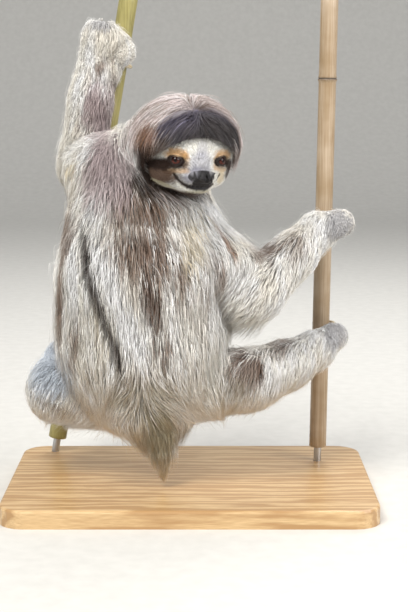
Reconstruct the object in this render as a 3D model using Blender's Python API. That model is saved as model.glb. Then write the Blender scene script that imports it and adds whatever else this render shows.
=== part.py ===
"""Three-toed sloth, life size, holding on to two cut bamboo canes over a display stand.

The animal is seen from behind by a viewer on the -Y side and looks back over its right shoulder.
Sizes below are millimetres; meshes are metres, +Z up, origin at the centre of the base's underside.
"""

import math
import random

import bmesh
import bpy
from mathutils import Matrix, Vector
from mathutils.bvhtree import BVHTree

MM = 0.001
GAP = 0.3
SLIVER = 0.01
DOWN = Vector((0, 0, -1))

# Display stand: a flat plate and one short rod into the foot of each cane
BASE_SIZE = (370, 250, 18)
BASE_CORNER = 26
BASE_EDGE = 2.5
ROD_RADIUS = 4
ROD_IN_BASE = 10
ROD_IN_CANE = 22

# Cut bamboo canes: foot and top of the axis, and the heights of the ring-shaped nodes
CANES = {
    "left": {"foot": (-147.5, 100, 34), "top": (-64.5, 100, 512), "radius": 9.8, "rings": (62, 262, 462)},
    "right": {"foot": (136.3, 61, 34), "top": (143, 61, 512), "radius": 9.0, "rings": (138, 281, 424)},
}
CANE_SIDES = 14
CANE_WALL = 2.6
CANE_RECESS = 9
RING_RISE = 1.1
RING_WIDTH = 5

# Spots of the body: centre, radius out to the coat's tips, the coat's depth, and the way it lies there
SPOTS = {
    "nape": (-44, -28, 344, 45, 18, (0.15, -0.1, -1)),
    "throat": (-26, -44, 350, 45, 16, (0.6, -0.25, -0.75)),
    "chest": (-42, -25, 298, 65, 24, (0.08, 0, -1)),
    "left_scapula": (-74, -8, 292, 50, 22, (0.0, 0.1, -1)),
    "mid": (-49, -25, 231, 87, 26, (0.06, 0, -1)),
    "belly": (-48, -23, 173, 90, 26, (0.05, 0, -1)),
    "pelvis": (-47, -20, 128, 62, 24, (0.1, 0, -1)),
    "left_shoulder": (-80, 5, 328, 42, 20, (-0.3, 0.2, -0.9)),
    "left_elbow": (-113, 45, 335, 26, 12, (-0.35, 0.1, -0.9)),
    "left_forearm": (-103, 58, 403, 24.5, 10, (-0.2, -0.15, -1)),
    "left_wrist": (-93, 74, 468, 19, 7, (-0.12, -0.1, -1)),
    "left_hand": (-72, 74, 452, 15.5, 0, (-0.1, -0.1, -1)),
    "right_shoulder": (-10, -30, 277, 36, 20, (0.6, -0.1, -0.8)),
    "right_elbow": (64, -42, 217, 32, 16, (-0.5, 0.05, -0.8)),
    "right_forearm": (103, -3, 248, 26, 12, (-0.35, -0.05, -1)),
    "right_wrist": (131, 29, 270, 20.5, 7, (-0.25, -0.2, -1)),
    "right_hand": (155, 38, 277, 15, 0, (0, 0, -1)),
    "left_hip": (-77, 0, 107, 39, 20, (-0.5, -0.1, -0.85)),
    "left_knee": (-136, -3, 109, 33, 14, (-0.35, 0, -0.95)),
    "left_ankle": (-136, 66, 130, 20, 7, (0.1, -0.45, -0.9)),
    "left_foot": (-114, 77, 141, 15, 0, (0, -0.2, -1)),
    "right_hip": (-12, -33, 120, 39, 20, (0.5, -0.1, -0.85)),
    "right_knee": (63, -35, 129, 32, 14, (-0.2, 0, -0.95)),
    "right_shin": (100, -1, 136, 27, 12, (-0.3, 0, -1)),
    "right_ankle": (131, 25, 147, 21, 7, (-0.2, -0.25, -1)),
    "right_foot": (150, 36, 158, 15, 0, (0, 0, -1)),
    "tail_root": (-40, -46, 98, 20.5, 13, (0.15, -0.1, -1)),
    "tail_middle": (-30, -46, 68, 17, 12, (0.12, 0, -1)),
    "tail_tip": (-25, -42, 45, 8, 6, (0.1, 0, -1)),
}
BONES = (
    ("throat", "nape"),
    ("nape", "chest"),
    ("chest", "mid"),
    ("mid", "belly"),
    ("belly", "pelvis"),
    ("left_scapula", "mid"),
    ("left_scapula", "left_shoulder"),
    ("left_shoulder", "nape"),
    ("left_shoulder", "left_elbow"),
    ("left_elbow", "left_forearm"),
    ("left_forearm", "left_wrist"),
    ("left_wrist", "left_hand"),
    ("chest", "right_shoulder"),
    ("right_shoulder", "mid"),
    ("right_shoulder", "right_elbow"),
    ("right_elbow", "right_forearm"),
    ("right_forearm", "right_wrist"),
    ("right_wrist", "right_hand"),
    ("pelvis", "left_hip"),
    ("left_hip", "left_knee"),
    ("left_knee", "left_ankle"),
    ("left_ankle", "left_foot"),
    ("pelvis", "right_hip"),
    ("right_hip", "right_knee"),
    ("right_knee", "right_shin"),
    ("right_shin", "right_ankle"),
    ("right_ankle", "right_foot"),
    ("pelvis", "tail_root"),
    ("tail_root", "tail_middle"),
    ("tail_middle", "tail_tip"),
)
CORE_SHARE = 0.5
BODY_VOXEL = 4.5
BODY_SMOOTHING = 6
TRUNK = ("chest", "mid", "belly", "pelvis")
TRUNK_DEPTH = 0.88
TRUNK_AXIS_Y = -24
BODY_FACES = 2000

# Thin cuts that part the body: point, direction across the cut, and the blade's reach
# to each side, down and up in its own plane
CUTS = {
    "head": ((-24.6, -43.5, 354.3), (-0.70, 0.61, -0.374), (60, 49, 64)),
    "neck": ((-36, -33, 328), (0.35, -0.30, 0.89), (70, 66, 92)),
    "left_shoulder": ((-88, 24, 330), (-0.62, 0.70, 0.35), (50, 62, 46)),
    "left_elbow": ((-104.7, 36.9, 353.6), (-0.35, 0.45, 0.82), (36, 48, 32)),
    "left_wrist": ((-89, 72, 454), (0.66, 0.1, 0.75), (28, 26, 34)),
    "right_shoulder": ((30, -35, 243), (0.97, -0.1, 0.23), (56, 64, 84)),
    "right_elbow": ((66, -42, 220), (0.935, 0.343, -0.085), (46, 46, 40)),
    "right_wrist": ((124, 22, 266), (0.68, 0.60, 0.41), (30, 30, 30)),
    "left_hip": ((-103, -3, 111), (-0.74, 0.22, -0.63), (54, 64, 62)),
    "left_knee": ((-136, 0, 109), (-0.66, 0.70, 0.30), (58, 44, 46)),
    "left_ankle": ((-136, 54, 126), (0.15, 0.9, 0.42), (30, 30, 30)),
    "right_hip": ((30, -34, 118), (0.91, 0.0, -0.42), (46, 50, 54)),
    "right_knee": ((64, -34, 129), (0.93, 0.33, 0.17), (44, 44, 44)),
    "right_ankle": ((123, 18, 145), (0.76, 0.60, 0.25), (30, 30, 30)),
    "tail": ((-40, -52, 80), (0.12, -0.5, -0.86), (46, 44, 46)),
}
BLADE = 0.35
BLADE_MARGIN = 14
BLADE_CORNER = 0.3
SQUARE_BLADES = ("head",)

# A point inside each piece of the parted body
INSIDE = {
    "neck": (-44, -26, 345),
    "torso": (-46, -25, 250),
    "tail": (-36, -48, 66),
    "left_upper_arm": (-96, 32, 330),
    "left_forearm": (-103, 58, 403),
    "left_hand": (-80, 74, 466),
    "right_upper_arm": (48, -40, 230),
    "right_forearm": (103, -3, 248),
    "right_hand": (148, 33, 276),
    "left_thigh": (-128, -14, 104),
    "left_shin": (-137, 32, 119),
    "left_foot": (-122, 72, 137),
    "right_thigh": (46, -34, 125),
    "right_shin": (100, -1, 136),
    "right_foot": (142, 30, 154),
}

# Coat: length, width and spacing of locks as a base and a share of the coat's depth, and at each
# station the share of the length and of the width
LOCK_LENGTH = (14, 2.9)
LOCK_WIDTH = (9, 0.95)
LOCK_SPACING = (20.5, 0.44)
LOCK_LEAST_DEPTH = 6
LOCK_THICKNESS = 0.14
LOCK_SINK = 5
LOCK_SWAY = 0.3
LOCK_STATIONS = ((0, 0.3), (0.3, 1.0), (0.66, 0.8))
LOCK_SEED = 821
LOCK_HANG = 0.4
LOCK_DROP = 0.6
LOCK_OVERHANG = 1.6
LOCK_LIFT = 0.6
LENGTH_SPREAD = (0.85, 1.15)
WIDTH_SPREAD = (0.9, 1.15)
SPOT_CORE = 0.6
SPOT_LEAST = 4
TIP_DRAWN = 0.9
LATE_CROSSING = 0.35
AROUND_BLADE = 22
INSIDE_BLADE = 3
PROP_WIDTH = 0.24
FLOOR_CLEARANCE = 26
CANE_CLEARANCE = 9
NECK_ONLY_ABOVE = 308

# Claws: cane held, height on it, angle of the root about the cane (0 towards +X, -90 towards the viewer)
GRIPS = {
    "left_hand": {"cane": "left", "height": 449, "angle": -78},
    "right_hand": {"cane": "right", "height": 277, "angle": -62},
    "left_foot": {"cane": "left", "height": 142, "angle": -62},
    "right_foot": {"cane": "right", "height": 158, "angle": -66},
}
CLAW_NAMES = ("upper", "middle", "lower")
CLAW_SPACING = 8.4
CLAW_SWEEP = 196
CLAW_ROOT_REACH = 21
CLAW_TIP_REACH = 13.2
CLAW_RADIUS = 2.7
CLAW_STATIONS = 8
CLAW_SIDES = 5
CLAW_FAN = 1.6
CLAW_BEND = 0.3
CLAW_TIP_RADIUS = 0.35
CLAW_OVAL = 1.15

# Head: centre, turn to the viewer's right, nod down and lean, then spots in its own frame
# (across to the viewer's right, forward to the nose, up)
HEAD_CENTRE = (-3.5, -62, 357)
HEAD_YAW = 19.5
HEAD_NOD = 4.0
HEAD_LEAN = 1.8
HEAD_BLOBS = (
    ((0, -4, 8), (48.5, 46, 43)),
    ((0, 12, -4), (42, 33, 32.5)),
    ((0, 29.5, -20), (22, 23, 14.5)),
    ((-20, 15, -16), (18.5, 21.5, 19)),
    ((20, 15, -16), (18.5, 21.5, 19)),
    ((0, 17, 17), (37, 20, 19)),
    ((0, 26.5, -29), (18, 19, 9.5)),
)
HEAD_INSIDE = (0, 10, 5)
HEAD_COAT = 9
HEAD_SPREAD = 0.74
HAIR_BEHIND = {"chin": -8, "cheek": 14, "temple": 24, "crown": 30}
CHIN_BELOW = -22
TEMPLE_ACROSS = 32
CROWN_ABOVE = 31
NECK_MARGIN = 6
HEAD_VOXEL = 3.0
HEAD_SMOOTHING = 5
HEAD_FACES = 1300
EYE_ACROSS = 22.8
EYE_UP = -5.4
EYE_RADIUS = 5.4
EYE_PROUD = 2.0
EYE_TURN = 24
LID_RADIUS = 1.5
LID_OPENING = (6.6, 5.3)
LID_STATIONS = 14
LID_SIDES = 5
NOSE_PLACE = (0.4, 50.6, -18.8)
NOSE_SIZE = (12.4, 6.2, 6.2)
NOSTRIL_PLACE = (5.2, 55.6, -20.4)
NOSTRIL_RADIUS = 2.0
MOUTH_HALF_WIDTH = 22.5
MOUTH_CORNER_UP = -18.7
MOUTH_MIDDLE_UP = -30.7
MOUTH_CURVE = 3.0
MOUTH_POINTS = 11
LIP_RADIUS = 1.7
LIP_SPREAD = 1.9
MOUTH_GROOVE = 0.9


def vec(values):
    """Metres from three millimetre values."""
    return Vector(values[:3]) * MM


def clear_scene():
    for obj in list(bpy.data.objects):
        bpy.data.objects.remove(obj, do_unlink=True)


def hex_colour(code):
    """Linear colour from an sRGB hex code."""
    parts = [int(code[i : i + 2], 16) / 255 for i in (0, 2, 4)]
    return [c / 12.92 if c <= 0.04045 else ((c + 0.055) / 1.055) ** 2.4 for c in parts] + [1]


def material(name, code, roughness, metallic=0.0):
    made = bpy.data.materials.get(name) or bpy.data.materials.new(name)
    made.use_nodes = True
    shader = made.node_tree.nodes["Principled BSDF"]
    shader.inputs["Base Color"].default_value = hex_colour(code)
    shader.inputs["Roughness"].default_value = roughness
    shader.inputs["Metallic"].default_value = metallic
    return made


def mesh_from(bm, name):
    bmesh.ops.recalc_face_normals(bm, faces=bm.faces)
    mesh = bpy.data.meshes.new(name)
    bm.to_mesh(mesh)
    bm.free()
    return mesh


def new_object(name, mesh, finish=None):
    obj = bpy.data.objects.new(name, mesh)
    bpy.context.scene.collection.objects.link(obj)
    if finish:
        mesh.materials.clear()
        mesh.materials.append(finish)
    return obj


def frame_along(direction, origin=Vector()):
    """Matrix whose Z axis runs along a direction."""
    return Matrix.Translation(origin) @ direction.to_track_quat("Z", "Y").to_matrix().to_4x4()


def add_blob(bm, centre, radii, turn=None, level=3):
    """An ellipsoid, centre and radii in metres."""
    place = Matrix.Translation(centre) @ (turn or Matrix()) @ Matrix.Diagonal((*radii, 1))
    bmesh.ops.create_icosphere(bm, subdivisions=level, radius=1, matrix=place)


def add_bone(bm, start, start_radius, end, end_radius, sides=28):
    """A tapered tube that is tangent to the spheres at both ends."""
    axis = end - start
    lean = (start_radius - end_radius) / axis.length
    if abs(lean) >= 0.95:
        return
    unit = axis.normalized()
    reach = math.sqrt(1 - lean * lean)
    first = start + unit * start_radius * lean
    last = end + unit * end_radius * lean
    middle = frame_along(unit, (first + last) / 2)
    depth = (last - first).length
    bmesh.ops.create_cone(
        bm, cap_ends=True, segments=sides, radius1=start_radius * reach, radius2=end_radius * reach,
        depth=depth, matrix=middle,
    )


def merged(parts):
    """One bmesh that holds several, which it frees."""
    bm = bmesh.new()
    for part in parts:
        scratch = bpy.data.meshes.new("scratch")
        part.to_mesh(scratch)
        part.free()
        bm.from_mesh(scratch)
        bpy.data.meshes.remove(scratch)
    return bm


def evaluated_mesh(obj):
    graph = bpy.context.evaluated_depsgraph_get()
    return bpy.data.meshes.new_from_object(obj.evaluated_get(graph), depsgraph=graph)


def smoothed(bm, name, voxel, rounds, faces):
    """One closed skin round overlapping shapes, smoothed and thinned to about this many faces."""
    obj = new_object(name + "_raw", mesh_from(bm, name))
    remesh = obj.modifiers.new("Skin", "REMESH")
    remesh.mode = "VOXEL"
    remesh.voxel_size = voxel * MM
    soften = obj.modifiers.new("Soften", "SMOOTH")
    soften.factor = 0.5
    soften.iterations = rounds
    dense = evaluated_mesh(obj)
    bpy.data.objects.remove(obj, do_unlink=True)
    obj = new_object(name, dense)
    dense.calc_loop_triangles()
    thin = obj.modifiers.new("Thin", "DECIMATE")
    thin.ratio = min(1.0, faces / len(dense.loop_triangles))
    thin.use_collapse_triangulate = True
    coarse = evaluated_mesh(obj)
    bpy.data.objects.remove(obj, do_unlink=True)
    return coarse


def boolean(obj, others, operation, solver="MANIFOLD"):
    """Joins or cuts an object with closed mesh objects in one go, and removes them."""
    group = bpy.data.collections.new("pieces")
    bpy.context.scene.collection.children.link(group)
    for other in others:
        group.objects.link(other)
        bpy.context.scene.collection.objects.unlink(other)
    cut = obj.modifiers.new(operation, "BOOLEAN")
    cut.operation = operation
    cut.operand_type = "COLLECTION"
    cut.collection = group
    cut.solver = solver
    mesh = evaluated_mesh(obj)
    obj.modifiers.remove(cut)
    obj.data = mesh
    for other in others:
        bpy.data.objects.remove(other, do_unlink=True)
    bpy.data.collections.remove(group)


def islands(bm):
    """The faces of each closed surface."""
    bm.faces.index_update()
    label = {}
    groups = []
    for face in bm.faces:
        if face.index in label:
            continue
        group = [face]
        label[face.index] = len(groups)
        for member in group:
            for edge in member.edges:
                for near in edge.link_faces:
                    if len(edge.link_faces) == 2 and near.index not in label:
                        label[near.index] = len(groups)
                        group.append(near)
        groups.append(group)
    return label, groups


def keep_surface(mesh, keep):
    """A copy of a mesh with only the faces listed by index, cleaned of slivers."""
    bm = bmesh.new()
    bm.from_mesh(mesh)
    bmesh.ops.delete(bm, geom=[face for face in bm.faces if face.index not in keep], context="FACES")
    bmesh.ops.delete(bm, geom=[vert for vert in bm.verts if not vert.link_faces], context="VERTS")
    bmesh.ops.triangulate(bm, faces=bm.faces)
    bmesh.ops.dissolve_degenerate(bm, edges=bm.edges, dist=SLIVER * MM)
    bmesh.ops.triangulate(bm, faces=bm.faces)
    largest = max(islands(bm)[1], key=len)
    scraps = set(bm.faces) - set(largest)
    bmesh.ops.delete(bm, geom=list(scraps), context="FACES")
    bmesh.ops.delete(bm, geom=[vert for vert in bm.verts if not vert.link_faces], context="VERTS")
    copy = bpy.data.meshes.new(mesh.name)
    bm.to_mesh(copy)
    bm.free()
    return copy


def piece_round(mesh, tree, surfaces, point):
    """The closed surface that holds a point."""
    label, groups = surfaces
    index = tree.ray_cast(point, Vector((0.31, -0.17, 0.93)))[2]
    return keep_surface(mesh, {face for face in groups[label[index]]})


def surfaces_of(mesh):
    bm = bmesh.new()
    bm.from_mesh(mesh)
    tree = BVHTree.FromBMesh(bm)
    label, groups = islands(bm)
    groups = [[face.index for face in group] for group in groups]
    bm.free()
    return tree, (label, groups)


def blade_axes(name):
    """Point, sideways, upward and across directions of a blade."""
    point, across, _ = CUTS[name]
    across = Vector(across).normalized()
    side = across.cross(Vector((0, 0, 1)) if abs(across.z) < 0.99 else Vector((0, 1, 0))).normalized()
    up = side.cross(across)
    return vec(point), side, up, across


def blade_outline(name):
    """Corners of a blade in its own plane, in millimetres."""
    side, low, high = CUTS[name][2]
    corner = 0 if name in SQUARE_BLADES else BLADE_CORNER
    points = []
    for x, y in ((1, 1), (-1, 1), (-1, -1), (1, -1)):
        reach = high if y > 0 else low
        first = (x * side, y * reach * (1 - corner))
        second = (x * side * (1 - corner), y * reach)
        points += [first, second] if x * y > 0 else [second, first]
    return points if corner else points[::2]


def blades(names):
    """The thin plates that part the body."""
    made = []
    for name in names:
        point, side, up, across = blade_axes(name)
        bm = bmesh.new()
        rows = []
        for edge in (-0.5, 0.5):
            shift = point + across * edge * BLADE * MM
            rows.append([bm.verts.new(shift + side * x * MM + up * y * MM) for x, y in blade_outline(name)])
        bm.faces.new(rows[0])
        bm.faces.new(rows[1])
        for k in range(len(rows[0])):
            n = (k + 1) % len(rows[0])
            bm.faces.new((rows[0][k], rows[0][n], rows[1][n], rows[1][k]))
        bmesh.ops.triangulate(bm, faces=bm.faces)
        made.append(new_object("blade_" + name, mesh_from(bm, name)))
    return made


def cane_axis(side):
    foot = vec(CANES[side]["foot"])
    top = vec(CANES[side]["top"])
    return foot, (top - foot).normalized(), (top - foot).length


def cane_point(side, height):
    """Point of a cane's axis at a height in millimetres."""
    foot, axis, _ = cane_axis(side)
    return foot + axis * ((height * MM - foot.z) / axis.z)


def lathe(profile, sides, place):
    """A turned solid: profile of (radius, distance along), both ends on the axis."""
    bm = bmesh.new()
    rings = []
    for radius, along in profile:
        if radius == 0:
            rings.append([bm.verts.new(place @ Vector((0, 0, along * MM)))])
            continue
        ring = []
        for k in range(sides):
            turn = math.tau * k / sides
            spot = Vector((radius * math.cos(turn), radius * math.sin(turn), along)) * MM
            ring.append(bm.verts.new(place @ spot))
        rings.append(ring)
    for near, far in zip(rings, rings[1:]):
        for k in range(sides):
            n = (k + 1) % sides
            if len(near) == 1:
                bm.faces.new((near[0], far[k], far[n]))
            elif len(far) == 1:
                bm.faces.new((near[k], far[0], near[n]))
            else:
                bm.faces.new((near[k], far[k], far[n], near[n]))
    return bm


def cane_profile(side, grow=0.0):
    """Outer profile of a cane, foot to top, with a raised ring at each node."""
    cane = CANES[side]
    foot, axis, length = cane_axis(side)
    radius = cane["radius"] + grow
    points = [(radius, -grow)]
    for height in cane["rings"]:
        along = (height * MM - foot.z) / axis.z / MM
        points.append((radius, along - RING_WIDTH))
        points.append((radius + RING_RISE, along))
        points.append((radius, along + RING_WIDTH * 0.7))
    points.append((radius, length / MM + grow))
    return points


def cane_solid(side):
    """A cane with a shallow recess over its last node and a bore in its foot for the rod."""
    foot, axis, length = cane_axis(side)
    length /= MM
    inner = CANES[side]["radius"] - CANE_WALL
    bore = ROD_RADIUS + GAP
    profile = [(0, ROD_IN_CANE + GAP), (bore, ROD_IN_CANE + GAP), (bore, 0)]
    profile += cane_profile(side)
    profile += [(inner, length), (inner, length - CANE_RECESS), (0, length - CANE_RECESS)]
    bm = lathe(profile, CANE_SIDES, frame_along(axis, foot))
    finish = material("bamboo_" + side, "c6b97a" if side == "left" else "d8bd92", 0.5)
    return new_object(side + "_cane", mesh_from(bm, side + "_cane"), finish)


def cane_cutter(side):
    foot, axis, length = cane_axis(side)
    outer = cane_profile(side, GAP)
    profile = [(0, outer[0][1])] + outer + [(0, outer[-1][1])]
    bm = lathe(profile, CANE_SIDES, frame_along(axis, foot))
    return new_object("cutter_" + side, mesh_from(bm, "cutter_" + side))


def rod_mesh(side, grow=0.0):
    """The rod, or with grow the hole for it, along its cane's axis."""
    foot, axis, _ = cane_axis(side)
    low = (BASE_SIZE[2] - ROD_IN_BASE) * MM
    start = foot + axis * ((low - foot.z) / axis.z - grow * MM)
    end = foot + axis * (ROD_IN_CANE + grow) * MM
    bm = bmesh.new()
    radius = (ROD_RADIUS + grow) * MM
    bmesh.ops.create_cone(
        bm, cap_ends=True, segments=CANE_SIDES, radius1=radius, radius2=radius,
        depth=(end - start).length, matrix=frame_along(axis, (start + end) / 2),
    )
    return mesh_from(bm, "rod_" + side)


def stand():
    """Plate with rounded corners and edges, and the two rods set in it."""
    bm = bmesh.new()
    size = Vector(BASE_SIZE) * MM
    place = Matrix.Translation((0, 0, size.z / 2)) @ Matrix.Diagonal((*size, 1))
    bmesh.ops.create_cube(bm, size=1, matrix=place)
    upright = [e for e in bm.edges if abs(e.verts[0].co.z - e.verts[1].co.z) > size.z / 2]
    bmesh.ops.bevel(
        bm, geom=upright, offset=BASE_CORNER * MM, segments=5, profile=0.5, affect="EDGES", clamp_overlap=True
    )
    rim = [e for e in bm.edges if all(v.co.z > size.z * 0.9 for v in e.verts) and len(e.link_faces) == 2]
    rim = [e for e in rim if abs(e.link_faces[0].normal.z - e.link_faces[1].normal.z) > 0.5]
    bmesh.ops.bevel(bm, geom=rim, offset=BASE_EDGE * MM, segments=2, profile=0.5, affect="EDGES")
    bmesh.ops.triangulate(bm, faces=bm.faces)
    base = new_object("stand_base", mesh_from(bm, "stand_base"), material("base_paint", "e8e4dc", 0.5))
    steel = material("rod_steel", "b9babb", 0.3, 1.0)
    holes = []
    for side in CANES:
        holes.append(new_object("hole_" + side, rod_mesh(side, GAP)))
        new_object("stand_rod_" + side, rod_mesh(side), steel)
    boolean(base, holes, "DIFFERENCE", "EXACT")
    return base


def claw_mesh(grip, level, grow=0.0):
    """A hooked claw round its cane; level is -1, 0 or 1 along the cane."""
    _, axis, _ = cane_axis(grip["cane"])
    centre = cane_point(grip["cane"], grip["height"] + level * CLAW_SPACING)
    across = (Vector((1, 0, 0)) - axis * axis.x).normalized()
    behind = axis.cross(across)
    if behind.y < 0:
        behind = -behind
    bm = bmesh.new()
    rings = []
    for k in range(CLAW_STATIONS):
        share = k / (CLAW_STATIONS - 1)
        turn = math.radians(grip["angle"] + CLAW_SWEEP * share)
        reach = CLAW_ROOT_REACH + (CLAW_TIP_REACH - CLAW_ROOT_REACH) * min(1, share / CLAW_BEND) ** 0.8
        lean = level * CLAW_FAN * math.sin(math.pi * share)
        out = across * math.cos(turn) + behind * math.sin(turn)
        spot = centre + out * reach * MM + axis * lean * MM
        radius = (CLAW_RADIUS * (1 - share) ** 0.6 * (1 - 0.25 * share) + CLAW_TIP_RADIUS + grow) * MM
        if k == 0:
            spot -= (behind * math.cos(turn) - across * math.sin(turn)) * grow * MM
        ring = []
        for j in range(CLAW_SIDES):
            a = math.tau * (j + 0.5) / CLAW_SIDES
            ring.append(bm.verts.new(spot + out * math.cos(a) * radius * CLAW_OVAL + axis * math.sin(a) * radius))
        rings.append(ring)
    for near, far in zip(rings, rings[1:]):
        for j in range(CLAW_SIDES):
            n = (j + 1) % CLAW_SIDES
            bm.faces.new((near[j], far[j], far[n], near[n]))
    bm.faces.new(rings[0])
    bm.faces.new(rings[-1])
    bmesh.ops.triangulate(bm, faces=bm.faces)
    return mesh_from(bm, "claw")


def claws():
    """All claws as pieces, and the cutters that clear their sockets in hands and feet."""
    horn = material("claw_horn", "cdbd9c", 0.35)
    sockets = []
    for limb, grip in GRIPS.items():
        for level, name in zip((1, 0, -1), CLAW_NAMES):
            full = f"{limb}_claw_{name}"
            new_object(full, claw_mesh(grip, level), horn)
            sockets.append(new_object("socket_" + full, claw_mesh(grip, level, GAP)))
    return sockets


def core_radius(spot):
    """Radius of the core: the outline less the part of the coat that locks fill."""
    radius, coat = SPOTS[spot][3:5]
    return (radius - coat * (1 - CORE_SHARE)) * MM


def body_core():
    """The animal without its head, as one smooth closed form."""
    trunk = bmesh.new()
    limbs = bmesh.new()
    for name, spot in SPOTS.items():
        radius = core_radius(name)
        add_blob(trunk if name in TRUNK else limbs, vec(spot), (radius, radius, radius))
    for first, second in BONES:
        bm = trunk if first in TRUNK and second in TRUNK else limbs
        add_bone(bm, vec(SPOTS[first]), core_radius(first), vec(SPOTS[second]), core_radius(second))
    for vert in trunk.verts:
        vert.co.y = TRUNK_AXIS_Y * MM + (vert.co.y - TRUNK_AXIS_Y * MM) * TRUNK_DEPTH
    bm = merged((trunk, limbs))
    return smoothed(bm, "body", BODY_VOXEL, BODY_SMOOTHING, BODY_FACES)


def lie_at(point):
    """The way the coat lies at a point and its depth in millimetres, from the spots round it."""
    flow = Vector()
    depth = 0
    total = 0
    for spot in SPOTS.values():
        near = max((point - vec(spot)).length / MM - SPOT_CORE * spot[3], SPOT_LEAST)
        weight = near**-3
        flow += Vector(spot[5]) * weight
        depth += spot[4] * weight
        total += weight
    return flow / total, depth / total


def along_surface(flow, normal):
    """A direction along the surface, which may leave it where the coat hangs but never enters it."""
    inward = flow.dot(normal)
    return (flow - normal * inward * (1.0 if inward < 0 else LOCK_LIFT)).normalized()


def side_of(name, point, margin=0.0):
    """Distance of a point from a blade's plane, and if it lies within the blade's outline and a margin."""
    origin, side, up, across = blade_axes(name)
    width, low, high = CUTS[name][2]
    offset = (point - origin) / MM
    y = offset.dot(up)
    x = abs(offset.dot(side)) / (width + margin)
    y = y / (high + margin) if y > 0 else -y / (low + margin)
    return offset.dot(across), max(x, y) < 1 and x + y < 2 - BLADE_CORNER


def crossing(names, near, far):
    """Share of the way between two points at which the first blade stands, and if it parts them cleanly."""
    first = None
    for name in names:
        before, _ = side_of(name, near)
        after, _ = side_of(name, far)
        if (before > 0) == (after > 0):
            continue
        share = before / (before - after)
        spot = near.lerp(far, share)
        if side_of(name, spot, AROUND_BLADE)[1] and (first is None or share < first[0]):
            first = (share, side_of(name, spot, -INSIDE_BLADE)[1])
    return first


def sized(rule, depth):
    base, share = rule
    return base + share * depth


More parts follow.
